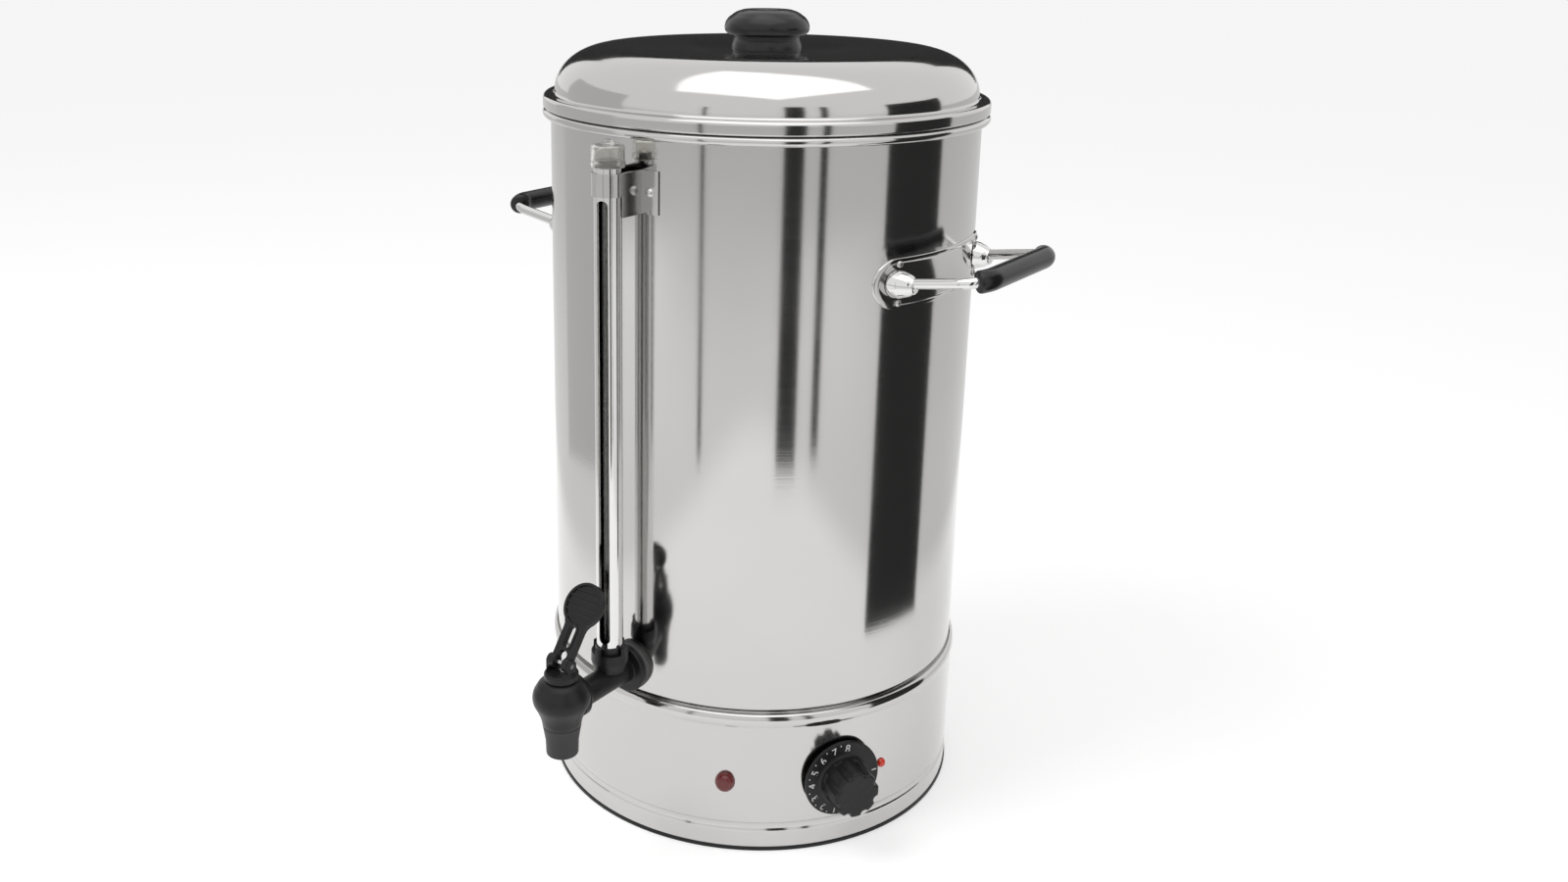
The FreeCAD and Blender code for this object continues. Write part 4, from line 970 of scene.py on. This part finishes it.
# studio: a pale floor with a painted bright pool that only mirror rays see, a white world, lamps, and cards
# that only mirror rays see
studio = {"floorReach": 30.0, "floorTone": 0.80, "floorGlow": 0.42, "paintedPoolTone": 0.46, "paintedPoolFarTone": 0.20,
          "paintedPoolLong": 0.86, "paintedPoolWide": 0.42, "worldFill": 0.62, "cardTone": 0.035,
          "greyTone": 0.66, "panelTone": 1.9, "panelHeight": 1.7, "panelHalf": 0.75, "panelAhead": 0.45,
          "paintedPoolEdge": (0.42, 0.62)}
cards = {  # first and last angle, distance from the wall, low and high edge in millimetres
    "thinCard": (4.8, 6.6, 620, 0, 640),
    "broadCard": (43.0, 52.5, 600, 0, 700),
    "slimCard": (60.0, 63.6, 640, 0, 700),
    "wideCard": (88.0, 121.0, 235, 0, 540),
    "backCard": (184.0, 244.0, 900, 470, 990),
}
greyCards = {"sideCard": (-86.0, -38.0, 520, 0, 700)}
lamps = {  # place, what it points at, side of its square in metres, watts
    "overheadBox": ((-0.55, -0.9, 1.7), (0, 0, 0.25), 0.8, 9.0),
    "rightFill": ((1.5, -0.6, 0.9), (0, 0, 0.2), 0.9, 5.0),
    "frontFill": ((-0.9, -1.5, 0.7), (0, -0.1, 0.2), 0.9, 4.0),
}


def rayMask(look):  # camera or glass rays, and mirror rays, which see a brighter stage
    rays = [look.node("ShaderNodeLightPath", output=n)
            for n in ("Is Camera Ray", "Is Glossy Ray", "Is Transmission Ray")]
    either = look.node("ShaderNodeMath", {"operation": "MAXIMUM"}, {0: rays[0], 1: rays[2]})
    return either, rays[1]


def makeFloor():
    size = studio["floorReach"]
    corners = [(-size, -size, 0), (size, -size, 0), (size, size, 0), (-size, size, 0)]
    floor = fromShell("paleFloor", corners, [(0, 1, 2, 3)])
    look = Look("paleFloor")
    x, y = look.axes()[:2]
    ahead = outward(camera["turn"])
    along = x * ahead.x + y * ahead.y
    across = x * -ahead.y + y * ahead.x
    # painted reflection: mirror rays see the floor glowing as a bright pool round the urn, stretched along
    # the view and fading farther out, while the camera sees the floor evenly pale
    reach = (along * (1 / studio["paintedPoolLong"])) ** 2 + (across * (1 / studio["paintedPoolWide"])) ** 2
    beyond = look.ramp(reach * 0.5, *studio["paintedPoolEdge"])
    seen, mirror = rayMask(look)
    near, far = studio["paintedPoolTone"], studio["paintedPoolFarTone"]
    glow = seen * studio["floorGlow"] + mirror * (near - beyond * (near - far))
    look.shine({"Base Color": grey(studio["floorTone"]), "Roughness": 0.9, "Specular IOR Level": 0.0,
                "Emission Color": look.node("ShaderNodeCombineXYZ", None, {0: glow, 1: glow, 2: glow}),
                "Emission Strength": 1.0})
    floor.data.materials.append(look.material)


def makeCard(name, first, last, distance, low, high, tone):
    reach = (tank["radius"] + distance) * mm
    turns = [first + (last - first) * k / 12 for k in range(13)]
    points = [outward(a) * reach + up * z * mm for z in (low, high) for a in turns]
    mirrorOnly(fromShell(name, points, [(k, k + 1, k + 14, k + 13) for k in range(12)]), tone)


def makePanel():  # the bright panel overhead that the lid mirrors
    h, z, middle = studio["panelHalf"], studio["panelHeight"], outward(camera["turn"]) * studio["panelAhead"]
    corners = [middle + Vector((x, y, z)) for x, y in ((-h, -h), (h, -h), (h, h), (-h, h))]
    mirrorOnly(fromShell("brightPanel", corners, [(0, 1, 2, 3)]), studio["panelTone"])


def mirrorOnly(card, tone):
    look = Look(card.name)
    look.shine({"Base Color": grey(0.0), "Specular IOR Level": 0.0, "Roughness": 1.0,
                "Emission Color": grey(tone, 0.0), "Emission Strength": 1.0})
    card.data.materials.append(look.material)
    card.visible_camera = card.visible_diffuse = card.visible_shadow = card.visible_transmission = False


def makeLight(name, place, target, size, watts):
    data = bpy.data.lights.new(name, "AREA")
    data.size, data.energy = size, watts
    lamp = piece(name, data)
    away = Vector(place) - Vector(target)
    lamp.matrix_world = Matrix.Translation(Vector(place)) @ away.to_track_quat("Z", "Y").to_matrix().to_4x4()
    lamp.visible_glossy = lamp.visible_camera = False


def makeWorld():
    world = bpy.data.worlds.new("whiteRoom")
    bpy.context.scene.world = world
    world.use_nodes = True
    tree = world.node_tree
    rays = tree.nodes.new("ShaderNodeLightPath").outputs
    larger = {"operation": "MAXIMUM"}
    values = {0: rays["Is Camera Ray"], 1: rays["Is Transmission Ray"]}
    seen = wired(tree, "ShaderNodeMath", larger, values)
    either = wired(tree, "ShaderNodeMath", larger, {0: seen.outputs[0], 1: rays["Is Glossy Ray"]})
    values = {"Value": either.outputs[0], "To Min": studio["worldFill"], "To Max": 1.0}
    level = wired(tree, "ShaderNodeMapRange", None, values)
    back = tree.nodes["Background"]
    back.inputs["Color"].default_value = (1, 1, 1, 1)
    tree.links.new(level.outputs[0], back.inputs["Strength"])


makeWorld()
makeFloor()
for cardName, sizes in cards.items():
    makeCard(cardName, *sizes, studio["cardTone"])
for cardName, sizes in greyCards.items():
    makeCard(cardName, *sizes, studio["greyTone"])
makePanel()
for lampName, sizes in lamps.items():
    makeLight(lampName, *sizes)
bpy.context.scene.view_settings.view_transform = "Standard"
print("studio")
